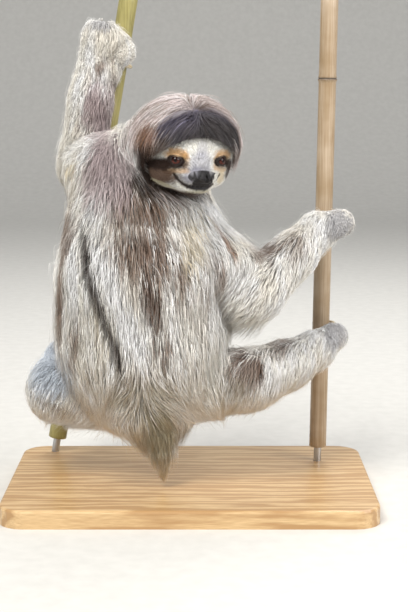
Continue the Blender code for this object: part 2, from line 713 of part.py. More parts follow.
class Coat:
    """Locks on a core: where they root, how they run and the solids they make."""

    def __init__(self, tree, lie, allowed, cuts_near, seed, spread=1.0):
        self.tree = tree
        self.lie = lie
        self.allowed = allowed
        self.cuts_near = cuts_near
        self.spread = spread
        self.draw = random.Random(seed)
        self.pieces = []

    def run(self, root, normal, depth):
        """Stations of one lock: centre, outward direction and width."""
        length = sized(LOCK_LENGTH, depth) * self.draw.uniform(*LENGTH_SPREAD)
        breadth = sized(LOCK_WIDTH, depth) * self.draw.uniform(*WIDTH_SPREAD)
        reach = depth * (1 - CORE_SHARE) * self.draw.uniform(*LENGTH_SPREAD)
        sway = self.draw.uniform(-LOCK_SWAY, LOCK_SWAY)
        flow = along_surface(self.lie(root)[0], normal)
        flow = (flow + normal.cross(flow) * sway).normalized()
        spot = root
        centre = root - normal * LOCK_SINK * MM
        found = [(centre, normal, breadth * LOCK_STATIONS[0][1])]
        shares = [share for share, _ in LOCK_STATIONS[1:]] + [1.0]
        widths = [width for _, width in LOCK_STATIONS[1:]] + [0.0]
        last = 0.0
        for share, width in zip(shares, widths):
            step = (share - last) * length * MM
            last = share
            hit, out, _, _ = self.tree.find_nearest(spot + flow * step)
            held = hit + out * reach * share * MM
            loose = LOCK_HANG * min(max(-out.z * LOCK_OVERHANG, 0), 1)
            free = centre + (flow + DOWN * LOCK_DROP).normalized() * step
            centre = held.lerp(free, loose)
            spot = held.lerp(free, loose * 0.6)
            flow = (flow * 0.4 + along_surface(self.lie(hit)[0], out) * 0.6).normalized()
            found.append((centre, out, breadth * width))
        return self.cleared(found)

    def cleared(self, stations):
        """The lock drawn up where it would hang too near the base."""
        top = stations[0][0].z
        low = min(centre.z for centre, _, _ in stations)
        floor = FLOOR_CLEARANCE * MM
        if low >= floor:
            return stations
        share = (top - floor) / (top - low)
        drawn = []
        for centre, out, width in stations:
            drawn.append((Vector((centre.x, centre.y, top - (top - centre.z) * share)), out, width))
        return drawn

    def solid(self, stations):
        """A closed three-sided solid through the stations, flat beneath and ridged above."""
        bm = bmesh.new()
        rings = []
        for k, (centre, out, width) in enumerate(stations[:-1]):
            before = stations[max(k - 1, 0)][0]
            along = (stations[k + 1][0] - before).normalized()
            side = along.cross(out).normalized()
            lift = side.cross(along)
            half = side * width * 0.5 * MM
            ridge = lift * width * LOCK_THICKNESS * MM
            rings.append([bm.verts.new(spot) for spot in (centre + half, centre + ridge, centre - half)])
        for near, far in zip(rings, rings[1:]):
            for j in range(3):
                n = (j + 1) % 3
                bm.faces.new((near[j], far[j], far[n]))
                bm.faces.new((near[j], far[n], near[n]))
        bm.faces.new(rings[0])
        tip = bm.verts.new(stations[-1][0])
        for j in range(3):
            bm.faces.new((rings[-1][j], tip, rings[-1][(j + 1) % 3]))
        return mesh_from(bm, "lock")

    def edges(self, stations):
        """The two edges and the middle of a lock, each as a row of points."""
        rows = ([], [], [])
        for k, (centre, out, width) in enumerate(stations):
            before = stations[max(k - 1, 0)][0]
            after = stations[min(k + 1, len(stations) - 1)][0]
            side = (after - before).cross(out).normalized() * width * 0.5 * MM
            for row, spot in zip(rows, (centre, centre + side, centre - side)):
                row.append(spot)
        return rows

    def parting(self, stations):
        """Where the first blade crosses a lock, as index and share, and if the cut is a clean one."""
        met = None
        clean = True
        cuts = self.cuts_near(stations[0][0])
        for row in self.edges(stations):
            for k, (near, far) in enumerate(zip(row, row[1:])):
                found = crossing(cuts, near, far)
                if found is None:
                    continue
                clean = clean and found[1]
                if met is None or k + found[0] < met:
                    met = k + found[0]
        return met, clean

    def shortened(self, stations, met):
        """The lock drawn back so that its tip stays before the blade."""
        index = int(met)
        share = met - index
        near, out, _ = stations[index]
        far = stations[index + 1][0]
        tip = near.lerp(far, share * TIP_DRAWN)
        return stations[: index + 1] + [(tip, out, 0.0)]

    def prop(self, stations, index):
        """A root for the part of a lock beyond a blade."""
        centre, out, width = stations[index + 1]
        if index + 2 < len(stations):
            centre = centre.lerp(stations[index + 2][0], 0.2)
        else:
            centre = stations[index][0].lerp(centre, 0.8)
            width = stations[index][2] * 0.3
        hit, normal, _, _ = self.tree.find_nearest(centre)
        start = hit - normal * LOCK_SINK * MM
        end = centre + out * width * LOCK_THICKNESS * 0.5 * MM
        bm = bmesh.new()
        bmesh.ops.create_cone(
            bm, cap_ends=True, segments=3, radius1=width * PROP_WIDTH * MM, radius2=width * PROP_WIDTH * 0.6 * MM,
            depth=(end - start).length, matrix=frame_along((end - start).normalized(), (start + end) / 2),
        )
        bmesh.ops.triangulate(bm, faces=bm.faces)
        return mesh_from(bm, "prop")

    def grow(self, mesh):
        """Grows locks over the core, spread by the depth of the coat."""
        taken = []
        faces = list(mesh.polygons)
        self.draw.shuffle(faces)
        for face in faces:
            root = face.center.copy()
            depth = self.lie(root)[1]
            room = sized(LOCK_SPACING, depth) * self.spread * MM
            if depth < LOCK_LEAST_DEPTH or not self.allowed(root, face.normal):
                continue
            if any((root - other).length < (room + around) / 2 for other, around in taken):
                continue
            stations = self.run(root, face.normal.copy(), depth)
            met, clean = self.parting(stations)
            if met is not None and met < (1 if clean else 2):
                continue
            if met is not None and (not clean or met > len(stations) - 2 + LATE_CROSSING):
                stations = self.shortened(stations, met)
                met = None
            taken.append((root, room))
            self.pieces.append(new_object("lock", self.solid(stations)))
            if met is not None:
                self.pieces.append(new_object("prop", self.prop(stations, int(met))))
        return self.pieces


def head_lie(frame):
    """The way the coat lies on the head: from the parting on the crown outward, back and down."""
    turn = frame.to_3x3()

    def lie(point):
        spot = frame.inverted() @ point / MM
        height = max(spot.z, 0) / 48
        across = min(max(spot.x / 12, -1), 1) * (0.2 + 1.1 * height)
        ahead = 0.15 if spot.y > 20 else -0.3
        down = -0.25 - 0.85 * min(1, abs(spot.x) / 40) - 0.4 * (1 - height)
        return turn @ Vector((across, ahead, down)), HEAD_COAT

    return lie


def near_cane(point, margin):
    """If a point is within a margin of a cane."""
    for side, cane in CANES.items():
        foot, axis, _ = cane_axis(side)
        offset = point - foot
        if (offset - axis * offset.dot(axis)).length < (cane["radius"] + margin) * MM:
            return True
    return False


def body_root(root, normal):
    """Locks root on the body's own side of the head, and not in the grip on the canes."""
    if near_cane(root, CANE_CLEARANCE):
        return False
    return root.z < NECK_ONLY_ABOVE * MM or side_of("head", root)[0] > BLADE_MARGIN


def body_cuts(root):
    """The blades that a lock of the body may meet: the head's only where it grows beside the head."""
    return [name for name in CUTS if name != "head" or root.z > NECK_ONLY_ABOVE * MM]


def head_cuts(_):
    return ("head", "neck")


def head_root(frame):
    """Locks root on the head round the face and on the head's own side of the neck."""
    back = frame.inverted()

    def allowed(root, normal):
        spot = back @ root / MM
        if side_of("head", root)[0] > -NECK_MARGIN:
            return False
        if spot.z < CHIN_BELOW:
            return spot.y < HAIR_BEHIND["chin"]
        at_temple = abs(spot.x) > TEMPLE_ACROSS and spot.y < HAIR_BEHIND["temple"]
        at_crown = spot.z > CROWN_ABOVE and spot.y < HAIR_BEHIND["crown"]
        return spot.y < HAIR_BEHIND["cheek"] or at_temple or at_crown

    return allowed


def head_frame():
    """Matrix of the head: X to the viewer's right, Y forward to the nose, Z up."""
    yaw = math.radians(HEAD_YAW)
    forward = Vector((math.sin(yaw), -math.cos(yaw), -math.tan(math.radians(HEAD_NOD)))).normalized()
    across = Vector((math.cos(yaw), math.sin(yaw), -math.tan(math.radians(HEAD_LEAN)))).normalized()
    up = across.cross(forward)
    if up.z < 0:
        up = -up
    across = forward.cross(up)
    if across.x < 0:
        across = -across
    turn = Matrix((across, forward, up)).transposed().to_4x4()
    return Matrix.Translation(vec(HEAD_CENTRE)) @ turn


def head_core(frame):
    face = bmesh.new()
    for centre, radii in HEAD_BLOBS:
        add_blob(face, vec(centre), vec(radii))
    face.transform(frame)
    bm = merged((face,))
    nape = vec(SPOTS["nape"])
    add_bone(bm, vec(HEAD_CENTRE), core_radius("throat"), nape, core_radius("nape"))
    add_blob(bm, nape, (core_radius("nape"),) * 3)
    return smoothed(bm, "head", HEAD_VOXEL, HEAD_SMOOTHING, HEAD_FACES)


def on_face(tree, frame, across, up):
    """Point of the face's surface in front of a place given across and up, and its normal."""
    start = frame @ vec((across, 120, up))
    ahead = (frame.to_3x3() @ Vector((0, -1, 0))).normalized()
    hit, normal, _, _ = tree.ray_cast(start, ahead)
    return hit, normal


def eye_places(tree, frame):
    """Centre and looking direction of each eye."""
    found = {}
    for side, sign in (("left", -1), ("right", 1)):
        hit, _ = on_face(tree, frame, sign * EYE_ACROSS, EYE_UP)
        turn = math.radians(EYE_TURN)
        look = (frame.to_3x3() @ Vector((sign * math.sin(turn), math.cos(turn), 0))).normalized()
        found[side] = (hit - look * (EYE_RADIUS - EYE_PROUD) * MM, look)
    return found


def tube(points, radius, sides=6):
    """A closed tube through points, in metres."""
    bm = bmesh.new()
    rings = []
    for k, spot in enumerate(points):
        before = points[max(k - 1, 0)]
        after = points[min(k + 1, len(points) - 1)]
        place = frame_along((after - before).normalized(), spot)
        size = radius * (0.55 if k in (0, len(points) - 1) else 1.0)
        ring = []
        for j in range(sides):
            a = math.tau * j / sides
            ring.append(bm.verts.new(place @ Vector((math.cos(a) * size, math.sin(a) * size, 0))))
        rings.append(ring)
    for near, far in zip(rings, rings[1:]):
        for j in range(sides):
            n = (j + 1) % sides
            bm.faces.new((near[j], far[j], far[n], near[n]))
    bm.faces.new(rings[0])
    bm.faces.new(rings[-1])
    bmesh.ops.triangulate(bm, faces=bm.faces)
    return bm


def mouth_points(tree, frame, shift, rise):
    """Points along the mouth, lifted off the face by rise and moved up by shift."""
    points = []
    for k in range(MOUTH_POINTS):
        share = 2 * k / (MOUTH_POINTS - 1) - 1
        across = MOUTH_HALF_WIDTH * share
        up = MOUTH_MIDDLE_UP + (MOUTH_CORNER_UP - MOUTH_MIDDLE_UP) * abs(share) ** MOUTH_CURVE + shift
        hit, normal = on_face(tree, frame, across, up)
        points.append(hit + normal * rise * MM)
    return points


def lid_mesh(centre, look):
    """A rim of lids round an eye."""
    bm = bmesh.new()
    place = frame_along(look, centre + look * (EYE_RADIUS - EYE_PROUD) * MM)
    rings = []
    for k in range(LID_STATIONS):
        a = math.tau * k / LID_STATIONS
        out = Vector((math.cos(a), math.sin(a), 0))
        spot = Vector((out.x * LID_OPENING[0], out.y * LID_OPENING[1], 0)) * MM
        ring = []
        for j in range(LID_SIDES):
            b = math.tau * j / LID_SIDES
            size = LID_RADIUS * MM
            ring.append(bm.verts.new(place @ (spot + out * math.cos(b) * size + Vector((0, 0, math.sin(b) * size)))))
        rings.append(ring)
    for k in range(LID_STATIONS):
        near = rings[k]
        far = rings[(k + 1) % LID_STATIONS]
        for j in range(LID_SIDES):
            n = (j + 1) % LID_SIDES
            bm.faces.new((near[j], far[j], far[n], near[n]))
    bmesh.ops.triangulate(bm, faces=bm.faces)
    return mesh_from(bm, "lid")


def ball(name, centre, radii, turn=None, level=2):
    bm = bmesh.new()
    add_blob(bm, centre, radii, turn, level)
    return new_object(name, mesh_from(bm, name))


def head(cutters):
    """The head with lids, lips, nose pad and nostrils, and the two eyes."""
    frame = head_frame()
    obj = new_object("head_whole", head_core(frame))
    bm = bmesh.new()
    bm.from_mesh(obj.data)
    tree = BVHTree.FromBMesh(bm)
    bm.free()
    turn = frame.to_3x3().to_4x4()
    eyes = eye_places(tree, frame)
    added = [new_object("lid_" + side, lid_mesh(*place)) for side, place in eyes.items()]
    for shift in (LIP_SPREAD, -LIP_SPREAD):
        lip = tube(mouth_points(tree, frame, shift, -0.4), LIP_RADIUS * MM)
        added.append(new_object("lip", mesh_from(lip, "lip")))
    added.append(ball("pad", frame @ vec(NOSE_PLACE), vec(NOSE_SIZE), turn))
    coat = Coat(tree, head_lie(frame), head_root(frame), head_cuts, LOCK_SEED, HEAD_SPREAD)
    boolean(obj, added + coat.grow(obj.data), "UNION")
    groove = tube(mouth_points(tree, frame, 0, 0.6), MOUTH_GROOVE * MM)
    cut = [new_object("groove", mesh_from(groove, "groove"))]
    across, forward, up = NOSTRIL_PLACE
    for sign in (-1, 1):
        cut.append(ball("nostril", frame @ vec((sign * across, forward, up)), [NOSTRIL_RADIUS * MM] * 3, None, 1))
    dark = material("eye_dark", "2a1710", 0.1)
    for side, (centre, _) in eyes.items():
        radius = EYE_RADIUS * MM
        cut.append(ball("orbit", centre, [radius + GAP * MM] * 3, None, 2))
        eye = ball(side + "_eye", centre, [radius] * 3, None, 2)
        eye.data.materials.append(dark)
    boolean(obj, cut + cutters, "DIFFERENCE")
    tree, surfaces = surfaces_of(obj.data)
    mesh = piece_round(obj.data, tree, surfaces, frame @ vec(HEAD_INSIDE))
    bpy.data.objects.remove(obj, do_unlink=True)
    new_object("head", mesh, material("coat_face", "cfcabf", 0.9))


def body(cutters):
    """The coated body, parted into its named pieces."""
    obj = new_object("body_whole", body_core())
    bm = bmesh.new()
    bm.from_mesh(obj.data)
    tree = BVHTree.FromBMesh(bm)
    bm.free()
    locks = Coat(tree, lie_at, body_root, body_cuts, LOCK_SEED).grow(obj.data)
    boolean(obj, locks, "UNION")
    boolean(obj, cutters, "DIFFERENCE")
    tree, surfaces = surfaces_of(obj.data)
    coat = material("coat_cream", "c9bda6", 0.95)
    for name, point in INSIDE.items():
        new_object(name, piece_round(obj.data, tree, surfaces, vec(point)), coat)
    bpy.data.objects.remove(obj, do_unlink=True)


def main():
    clear_scene()
    stand()
    for side in CANES:
        cane_solid(side)
    sockets = claws()
    clearances = [cane_cutter(side) for side in CANES]
    body(blades(CUTS) + clearances + sockets)
    head(blades(("head", "neck")))


main()
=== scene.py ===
"""Looks of a life-size three-toed sloth that holds two cut bamboo canes over a display stand.

The skin and its coat are shaped by one distance field round the animal's spots and bones, so that the
fur follows the body from all sides. Work is in millimetres and meshes are in metres, +Z up, with the
viewer of the photo on the -Y side.
"""

from __future__ import annotations

import logging
import math
from dataclasses import dataclass, fields
from enum import Enum

import bmesh
import bpy
import numpy as np
from mathutils import Matrix, Vector
from mathutils.kdtree import KDTree

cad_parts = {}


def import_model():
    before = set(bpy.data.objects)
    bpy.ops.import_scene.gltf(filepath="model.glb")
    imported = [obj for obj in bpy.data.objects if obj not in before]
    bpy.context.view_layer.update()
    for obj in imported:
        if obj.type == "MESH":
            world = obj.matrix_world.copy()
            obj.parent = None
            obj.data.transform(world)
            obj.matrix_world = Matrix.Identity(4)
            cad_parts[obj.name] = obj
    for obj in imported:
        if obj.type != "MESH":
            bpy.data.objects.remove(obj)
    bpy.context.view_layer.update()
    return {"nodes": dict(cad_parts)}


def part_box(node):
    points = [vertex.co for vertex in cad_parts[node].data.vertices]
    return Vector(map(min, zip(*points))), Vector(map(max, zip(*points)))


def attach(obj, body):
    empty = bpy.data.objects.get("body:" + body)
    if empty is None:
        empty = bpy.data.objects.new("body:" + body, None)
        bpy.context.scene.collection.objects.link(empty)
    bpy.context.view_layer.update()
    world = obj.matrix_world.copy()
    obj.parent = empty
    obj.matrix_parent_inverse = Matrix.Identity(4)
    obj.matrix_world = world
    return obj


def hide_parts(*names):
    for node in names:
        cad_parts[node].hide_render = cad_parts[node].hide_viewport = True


MM = 0.001
ROOT = "root"
LOG = logging.getLogger("sloth")
Array = np.ndarray


class Side(Enum):
    """The animal's two sides, as seen from behind."""

    LEFT = "left"
    RIGHT = "right"


# Colours and shader nodes


def linear(code: str) -> tuple[float, float, float]:
    """Linear colour from an sRGB hex code.

    Args:
        code: six hex digits.

    Returns:
        Red, green and blue from 0 to 1.
    """
    parts = [int(code[i : i + 2], 16) / 255 for i in (0, 2, 4)]
    return tuple(c / 12.92 if c <= 0.04045 else ((c + 0.055) / 1.055) ** 2.4 for c in parts)


def rgba(code: str) -> tuple[float, float, float, float]:
    """The same with a full alpha."""
    return (*linear(code), 1.0)


def node(
    tree: bpy.types.NodeTree, kind: str, inputs: dict | None = None, **settings: object
) -> bpy.types.Node:
    """Adds a shader node.

    Args:
        tree: the node tree.
        kind: the node's type name without its prefix.
        inputs: values or sockets by input name or index.
        settings: properties of the node.

    Returns:
        The new node.
    """
    made = tree.nodes.new("ShaderNode" + kind)
    for name, value in settings.items():
        setattr(made, name, value)
    for key, value in (inputs or {}).items():
        if isinstance(value, bpy.types.NodeSocket):
            tree.links.new(value, made.inputs[key])
        else:
            made.inputs[key].default_value = value
    return made


def ramp(tree: bpy.types.NodeTree, factor: bpy.types.NodeSocket, stops: tuple) -> bpy.types.NodeSocket:
    """A colour ramp.

    Args:
        tree: the node tree.
        factor: what drives the ramp.
        stops: pairs of position and hex code.

    Returns:
        The colour socket.
    """
    made = node(tree, "ValToRGB", {"Fac": factor})
    elements = made.color_ramp.elements
    for place, _ in stops[2:]:
        elements.new(place)
    for element, (place, code) in zip(elements, stops):
        element.position = place
        element.color = rgba(code)
    return made.outputs["Color"]


def new_material(name: str) -> tuple[bpy.types.Material, bpy.types.NodeTree, bpy.types.Node]:
    """An empty material with its tree and its Principled shader.

    Args:
        name: the material's name.

    Returns:
        The material, its tree and its shader.
    """
    made = bpy.data.materials.new(name)
    made.use_nodes = True
    return made, made.node_tree, made.node_tree.nodes["Principled BSDF"]


def bumped(
    tree: bpy.types.NodeTree, shader: bpy.types.Node, height: bpy.types.NodeSocket, depth_mm: float
) -> None:
    """Links a height to the shader's normal through a bump of the given depth."""
    bump = node(tree, "Bump", {"Height": height, "Strength": 1.0, "Distance": depth_mm * MM})
    tree.links.new(bump.outputs["Normal"], shader.inputs["Normal"])


@dataclass(frozen=True)
class Fur:
    """Hair: keratin with a soft sheen, coloured by the coat's own markings."""

    name: str = "sloth hair"
    roughness: float = 0.62
    specular: float = 0.28

    def material(self) -> bpy.types.Material:
        """Builds the hair's material.

        Returns:
            The material.
        """
        made, tree, shader = new_material(self.name)
        # Sloth hair is coarse and grooved, so each strand has a dull, slightly uneven tone
        tint = node(tree, "Attribute", attribute_name="coat")
        place = node(tree, "TexCoord")
        grain = node(tree, "TexNoise", {"Vector": place.outputs["Object"], "Scale": 900.0, "Detail": 2.0})
        light = node(tree, "MapRange", {"Value": grain.outputs["Fac"], 3: 0.86, 4: 1.12})
        shade = node(tree, "VectorMath", {0: tint.outputs["Color"], 3: light.outputs[0]}, operation="SCALE")
        tree.links.new(shade.outputs[0], shader.inputs["Base Color"])
        shader.inputs["Roughness"].default_value = self.roughness
        shader.inputs["Specular IOR Level"].default_value = self.specular
        return made


@dataclass(frozen=True)
class Skin:
    """Skin under the coat, with short hair as bump, and bare damp skin on nose and lips."""

    name: str = "sloth skin"
    hair_roughness: float = 0.75
    bare_roughness: float = 0.46
    specular: float = 0.3
    bump_mm: float = 0.35

    def material(self) -> bpy.types.Material:
        """Builds the skin's material.

        Returns:
            The material.
        """
        made, tree, shader = new_material(self.name)
        tint = node(tree, "Attribute", attribute_name="coat")
        bare = node(tree, "Attribute", attribute_name="bare")
        place = node(tree, "TexCoord")
        # Short hairs are about half a millimetre apart; the pebbles of the nose about 0.7 mm
        stretch = node(tree, "Mapping", {"Vector": place.outputs["Object"], "Scale": (1.0, 1.0, 0.22)})
        hairs = node(tree, "TexNoise", {"Vector": stretch.outputs[0], "Scale": 1500.0, "Detail": 2.0})
        pebbles = node(tree, "TexVoronoi", {"Vector": place.outputs["Object"], "Scale": 1300.0})
        tree.links.new(tint.outputs["Color"], shader.inputs["Base Color"])
        damp = bare.outputs["Fac"]
        rough = node(tree, "MapRange", {"Value": damp, 3: self.hair_roughness, 4: self.bare_roughness})
        tree.links.new(rough.outputs[0], shader.inputs["Roughness"])
        height = node(
            tree, "Mix", {"Factor": damp, "A": hairs.outputs["Fac"], "B": pebbles.outputs["Distance"]}
        )
        bumped(tree, shader, height.outputs["Result"], self.bump_mm)
        shader.inputs["Specular IOR Level"].default_value = self.specular
        return made


@dataclass(frozen=True)
class Eye:
    """Wet eye: dark red-brown iris under a clear cornea."""

    name: str = "sloth eye"
    roughness: float = 0.06
    ior: float = 1.34

    def material(self) -> bpy.types.Material:
        """Builds the eye's material.

        Returns:
            The material.
        """
        made, tree, shader = new_material(self.name)
        tint = node(tree, "Attribute", attribute_name="coat")
        tree.links.new(tint.outputs["Color"], shader.inputs["Base Color"])
        shader.inputs["Roughness"].default_value = self.roughness
        shader.inputs["IOR"].default_value = self.ior
        return made


@dataclass(frozen=True)
class Horn:
    """Claw horn: smooth, pale, a little see-through at the tip."""

    name: str = "claw horn"
    roughness: float = 0.34
    subsurface: float = 0.1
    subsurface_radius: tuple[float, float, float] = (0.002, 0.0012, 0.0006)

    def material(self) -> bpy.types.Material:
        """Builds the claw's material.

        Returns:
            The material.
        """
        made, tree, shader = new_material(self.name)
        place = node(tree, "TexCoord")
        grain = node(tree, "TexNoise", {"Vector": place.outputs["Object"], "Scale": 420.0, "Detail": 3.0})
        colour = ramp(tree, grain.outputs["Fac"], ((0.3, "a08c68"), (0.7, "d8c9a4")))
        tree.links.new(colour, shader.inputs["Base Color"])
        shader.inputs["Roughness"].default_value = self.roughness
        shader.inputs["Subsurface Weight"].default_value = self.subsurface
        shader.inputs["Subsurface Radius"].default_value = self.subsurface_radius
        bumped(tree, shader, grain.outputs["Fac"], 0.05)
        return made


@dataclass(frozen=True)
class Bamboo:
    """Dry bamboo: waxy, streaked along the grain, with a dark scar at each ring."""

    name: str
    pale: str
    deep: str
    scar: str
    roughness: float = 0.42
    specular: float = 0.45

    def material(self) -> bpy.types.Material:
        """Builds the cane's material; the attribute ring holds how near a ring is.

        Returns:
            The material.
        """
        made, tree, shader = new_material(self.name)
        place = node(tree, "TexCoord")
        # Fibres run the length of the cane, about 1 mm apart
        along = node(tree, "Mapping", {"Vector": place.outputs["Object"], "Scale": (1.0, 1.0, 0.025)})
        fibres = node(tree, "TexNoise", {"Vector": along.outputs[0], "Scale": 700.0, "Detail": 3.0})
        patches = node(tree, "TexNoise", {"Vector": place.outputs["Object"], "Scale": 28.0, "Detail": 3.0})
        mixed = node(tree, "Math", {0: fibres.outputs["Fac"], 1: patches.outputs["Fac"]}, operation="ADD")
        half = node(tree, "Math", {0: mixed.outputs[0], 1: 0.5}, operation="MULTIPLY")
        body = ramp(tree, half.outputs[0], ((0.36, self.deep), (0.6, self.pale)))
        ring = node(tree, "Attribute", attribute_name="ring")
        tones = {"Factor": ring.outputs["Fac"], "A": body, "B": rgba(self.scar)}
        whole = node(tree, "Mix", tones, data_type="RGBA")
        tree.links.new(whole.outputs["Result"], shader.inputs["Base Color"])
        shader.inputs["Roughness"].default_value = self.roughness
        shader.inputs["Specular IOR Level"].default_value = self.specular
        bumped(tree, shader, fibres.outputs["Fac"], 0.12)
        return made


YELLOW_BAMBOO = Bamboo("yellow bamboo", "a59b62", "857d4a", "4b4228")
PALE_BAMBOO = Bamboo("pale bamboo", "b4a18a", "947d5f", "4a3f36")


@dataclass(frozen=True)
class Oak:
    """Light oak under a satin lacquer."""

    name: str = "lacquered oak"
    roughness: float = 0.38
    lacquer: float = 0.35
    lacquer_roughness: float = 0.25

    def material(self) -> bpy.types.Material:
        """Builds the base's material.

        Returns:
            The material.
        """
        made, tree, shader = new_material(self.name)
        place = node(tree, "TexCoord")
        # Growth rings show as bands about 6 mm wide along the plate, with pores 0.3 mm across
        board = node(tree, "Mapping", {"Vector": place.outputs["Object"], "Scale": (0.12, 1.0, 1.0)})
        bands = {"Scale": 24.0, "Distortion": 9.0, "Detail": 3.0, "Detail Scale": 2.2}
        rings = node(tree, "TexWave", {"Vector": board.outputs[0], **bands}, bands_direction="Y")
        pores = node(tree, "Mapping", {"Vector": place.outputs["Object"], "Scale": (0.05, 1.0, 1.0)})
        dots = node(tree, "TexNoise", {"Vector": pores.outputs[0], "Scale": 1400.0, "Detail": 2.0})
        mixed = node(tree, "Math", {0: rings.outputs["Fac"], 1: dots.outputs["Fac"]}, operation="MULTIPLY")
        colour = ramp(tree, mixed.outputs[0], ((0.1, "b08a5c"), (0.6, "d6b687")))
        tree.links.new(colour, shader.inputs["Base Color"])
        shader.inputs["Roughness"].default_value = self.roughness
        shader.inputs["Coat Weight"].default_value = self.lacquer
        shader.inputs["Coat Roughness"].default_value = self.lacquer_roughness
        bumped(tree, shader, dots.outputs["Fac"], 0.06)
        return made


@dataclass(frozen=True)
class Steel:
    """Brushed stainless steel."""

    name: str = "brushed steel"
    tone: str = "b9babb"
    smoothest: float = 0.26
    roughest: float = 0.42

    def material(self) -> bpy.types.Material:
        """Builds the rods' material.

        Returns:
            The material.
        """
        made, tree, shader = new_material(self.name)
        place = node(tree, "TexCoord")
        # Brush marks run round the rod, about 0.2 mm apart
        marks = node(tree, "Mapping", {"Vector": place.outputs["Object"], "Scale": (0.05, 0.05, 1.0)})
        lines = node(tree, "TexNoise", {"Vector": marks.outputs[0], "Scale": 4000.0, "Detail": 2.0})
        rough = node(tree, "MapRange", {"Value": lines.outputs["Fac"], 3: self.smoothest, 4: self.roughest})
        tree.links.new(rough.outputs[0], shader.inputs["Roughness"])
        shader.inputs["Base Color"].default_value = rgba(self.tone)
        shader.inputs["Metallic"].default_value = 1.0
        bumped(tree, shader, lines.outputs["Fac"], 0.02)
        return made


@dataclass(frozen=True)
class Paper:
    """Plain pale studio floor."""

    name: str = "studio floor"
    roughness: float = 0.9

    def material(self) -> bpy.types.Material:
        """Builds the floor's material.

        Returns:
            The material.
        """
        made, tree, shader = new_material(self.name)
        place = node(tree, "TexCoord")
        grain = node(tree, "TexNoise", {"Vector": place.outputs["Object"], "Scale": 60.0, "Detail": 4.0})
        colour = ramp(tree, grain.outputs["Fac"], ((0.3, "cbc9c4"), (0.7, "d2d0cb")))
        tree.links.new(colour, shader.inputs["Base Color"])
        shader.inputs["Roughness"].default_value = self.roughness
        return made


# Numbers on arrays


def unit(rows: Array) -> Array:
    """Rows scaled to length one."""
    return rows / np.maximum(np.linalg.norm(rows, axis=-1, keepdims=True), 1e-9)


def dot(a: Array, b: Array) -> Array:
    """Row by row dot product, kept as a column."""
    return (a * b).sum(axis=-1, keepdims=True)


def blend_min(a: Array, b: Array, reach: float) -> Array:
    """The lesser of two distances, rounded where they meet."""
    share = np.clip(0.5 + 0.5 * (b - a) / reach, 0, 1)
    return b + (a - b) * share - reach * share * (1 - share)


def blend_max(a: Array, b: Array, reach: float) -> Array:
    """The greater of two distances, rounded where they meet."""
    return -blend_min(-a, -b, reach)


def smooth(low: float, high: float, values: Array) -> Array:
    """Soft step from 0 at low to 1 at high."""
    share = np.clip((values - low) / (high - low), 0, 1)
    return share * share * (3 - 2 * share)


def value_noise(points: Array, seed: int) -> Array:
    """Smooth noise from 0 to 1, one cell per unit.

    Args:
        points: rows of x, y, z.
        seed: changes the pattern.

    Returns:
        One value a row.
    """
    cell = np.floor(points).astype(np.int64)
    part = points - cell
    part = part * part * (3 - 2 * part)
    total = np.zeros(len(points))
    for corner in range(8):
        step = np.array([corner & 1, corner >> 1 & 1, corner >> 2 & 1])
        spot = cell + step
        code = spot[:, 0] * 374761393 + spot[:, 1] * 668265263 + spot[:, 2] * 1274126177 + seed * 97
        code &= 0xFFFFFFFF
        code = ((code ^ (code >> 13)) * 1103515245) & 0xFFFFFFFF
        code = ((code ^ (code >> 16)) * 668265263) & 0xFFFFFFFF
        weight = np.prod(np.where(step == 1, part, 1 - part), axis=1)
        total += weight * (code >> 8 & 0xFFFF) / 65535.0
    return total


def ellipsoid(points: Array, centre: Array, radii: Array) -> Array:
    """Distance to an ellipsoid, near enough close to it.

    Args:
        points: rows of x, y, z.
        centre: its middle.
        radii: its three radii.

    Returns:
        One value a row.
    """
    place = (points - centre) / radii
    size = np.linalg.norm(place, axis=1)
    slope = np.linalg.norm(place / radii, axis=1)
    return size * (size - 1) / np.maximum(slope, 1e-9)


def round_cone(points: Array, start: Array, end: Array, first: float, second: float) -> Array:
    """Distance to the hull of two spheres.

    Args:
        points: rows of x, y, z.
        start: centre of the first sphere.
        end: centre of the second.
        first: radius of the first.
        second: radius of the second.

    Returns:
        One value a row.
    """
    axis = end - start
    length2 = float(axis @ axis)
    drop = first - second
    slope2 = length2 - drop * drop
    if slope2 <= 0:
        centre = start if first > second else end
        return np.linalg.norm(points - centre, axis=1) - max(first, second)
    offset = points - start
    y = offset @ axis
    z = y - length2
    x2 = ((offset * length2 - axis * y[:, None]) ** 2).sum(axis=1)
    y2 = y * y * length2
    z2 = z * z * length2
    k = math.copysign(1, drop) * drop * drop * x2
    side = (np.sqrt(x2 * slope2 / length2) + y * drop) / length2 - first
    beyond = np.sqrt(x2 + z2) / length2 - second
    before = np.sqrt(x2 + y2) / length2 - first
    inner = np.where(np.sign(y) * slope2 * y2 < k, before, side)
    return np.where(np.sign(z) * slope2 * z2 > k, beyond, inner)


def off_line(points: Array, foot: Array, axis: Array) -> Array:
    """Offsets of points from a line, square to it."""
    offset = points - foot
    return offset - (offset @ axis)[:, None] * axis


def polyline(points: Array, path: Array) -> Array:
    """Distance to an open path.

    Args:
        points: rows in two or three dimensions.
        path: its corners in order.

    Returns:
        One value a row.
    """
    least = np.full(len(points), 1e9)
    for start, end in zip(path, path[1:]):
        axis = end - start
        share = np.clip((points - start) @ axis / (axis @ axis), 0, 1)
        least = np.minimum(least, np.linalg.norm(points - start - share[:, None] * axis, axis=1))
    return least


# The animal's shape


@dataclass(frozen=True)
class Spot:
    """A ball of the body: place, radius out to the coat's tips, coat depth, lie and how freely it hangs."""

    place: tuple[float, float, float]
    radius: float
    coat: float
    lie: tuple[float, float, float]
    hang: float = 0.15


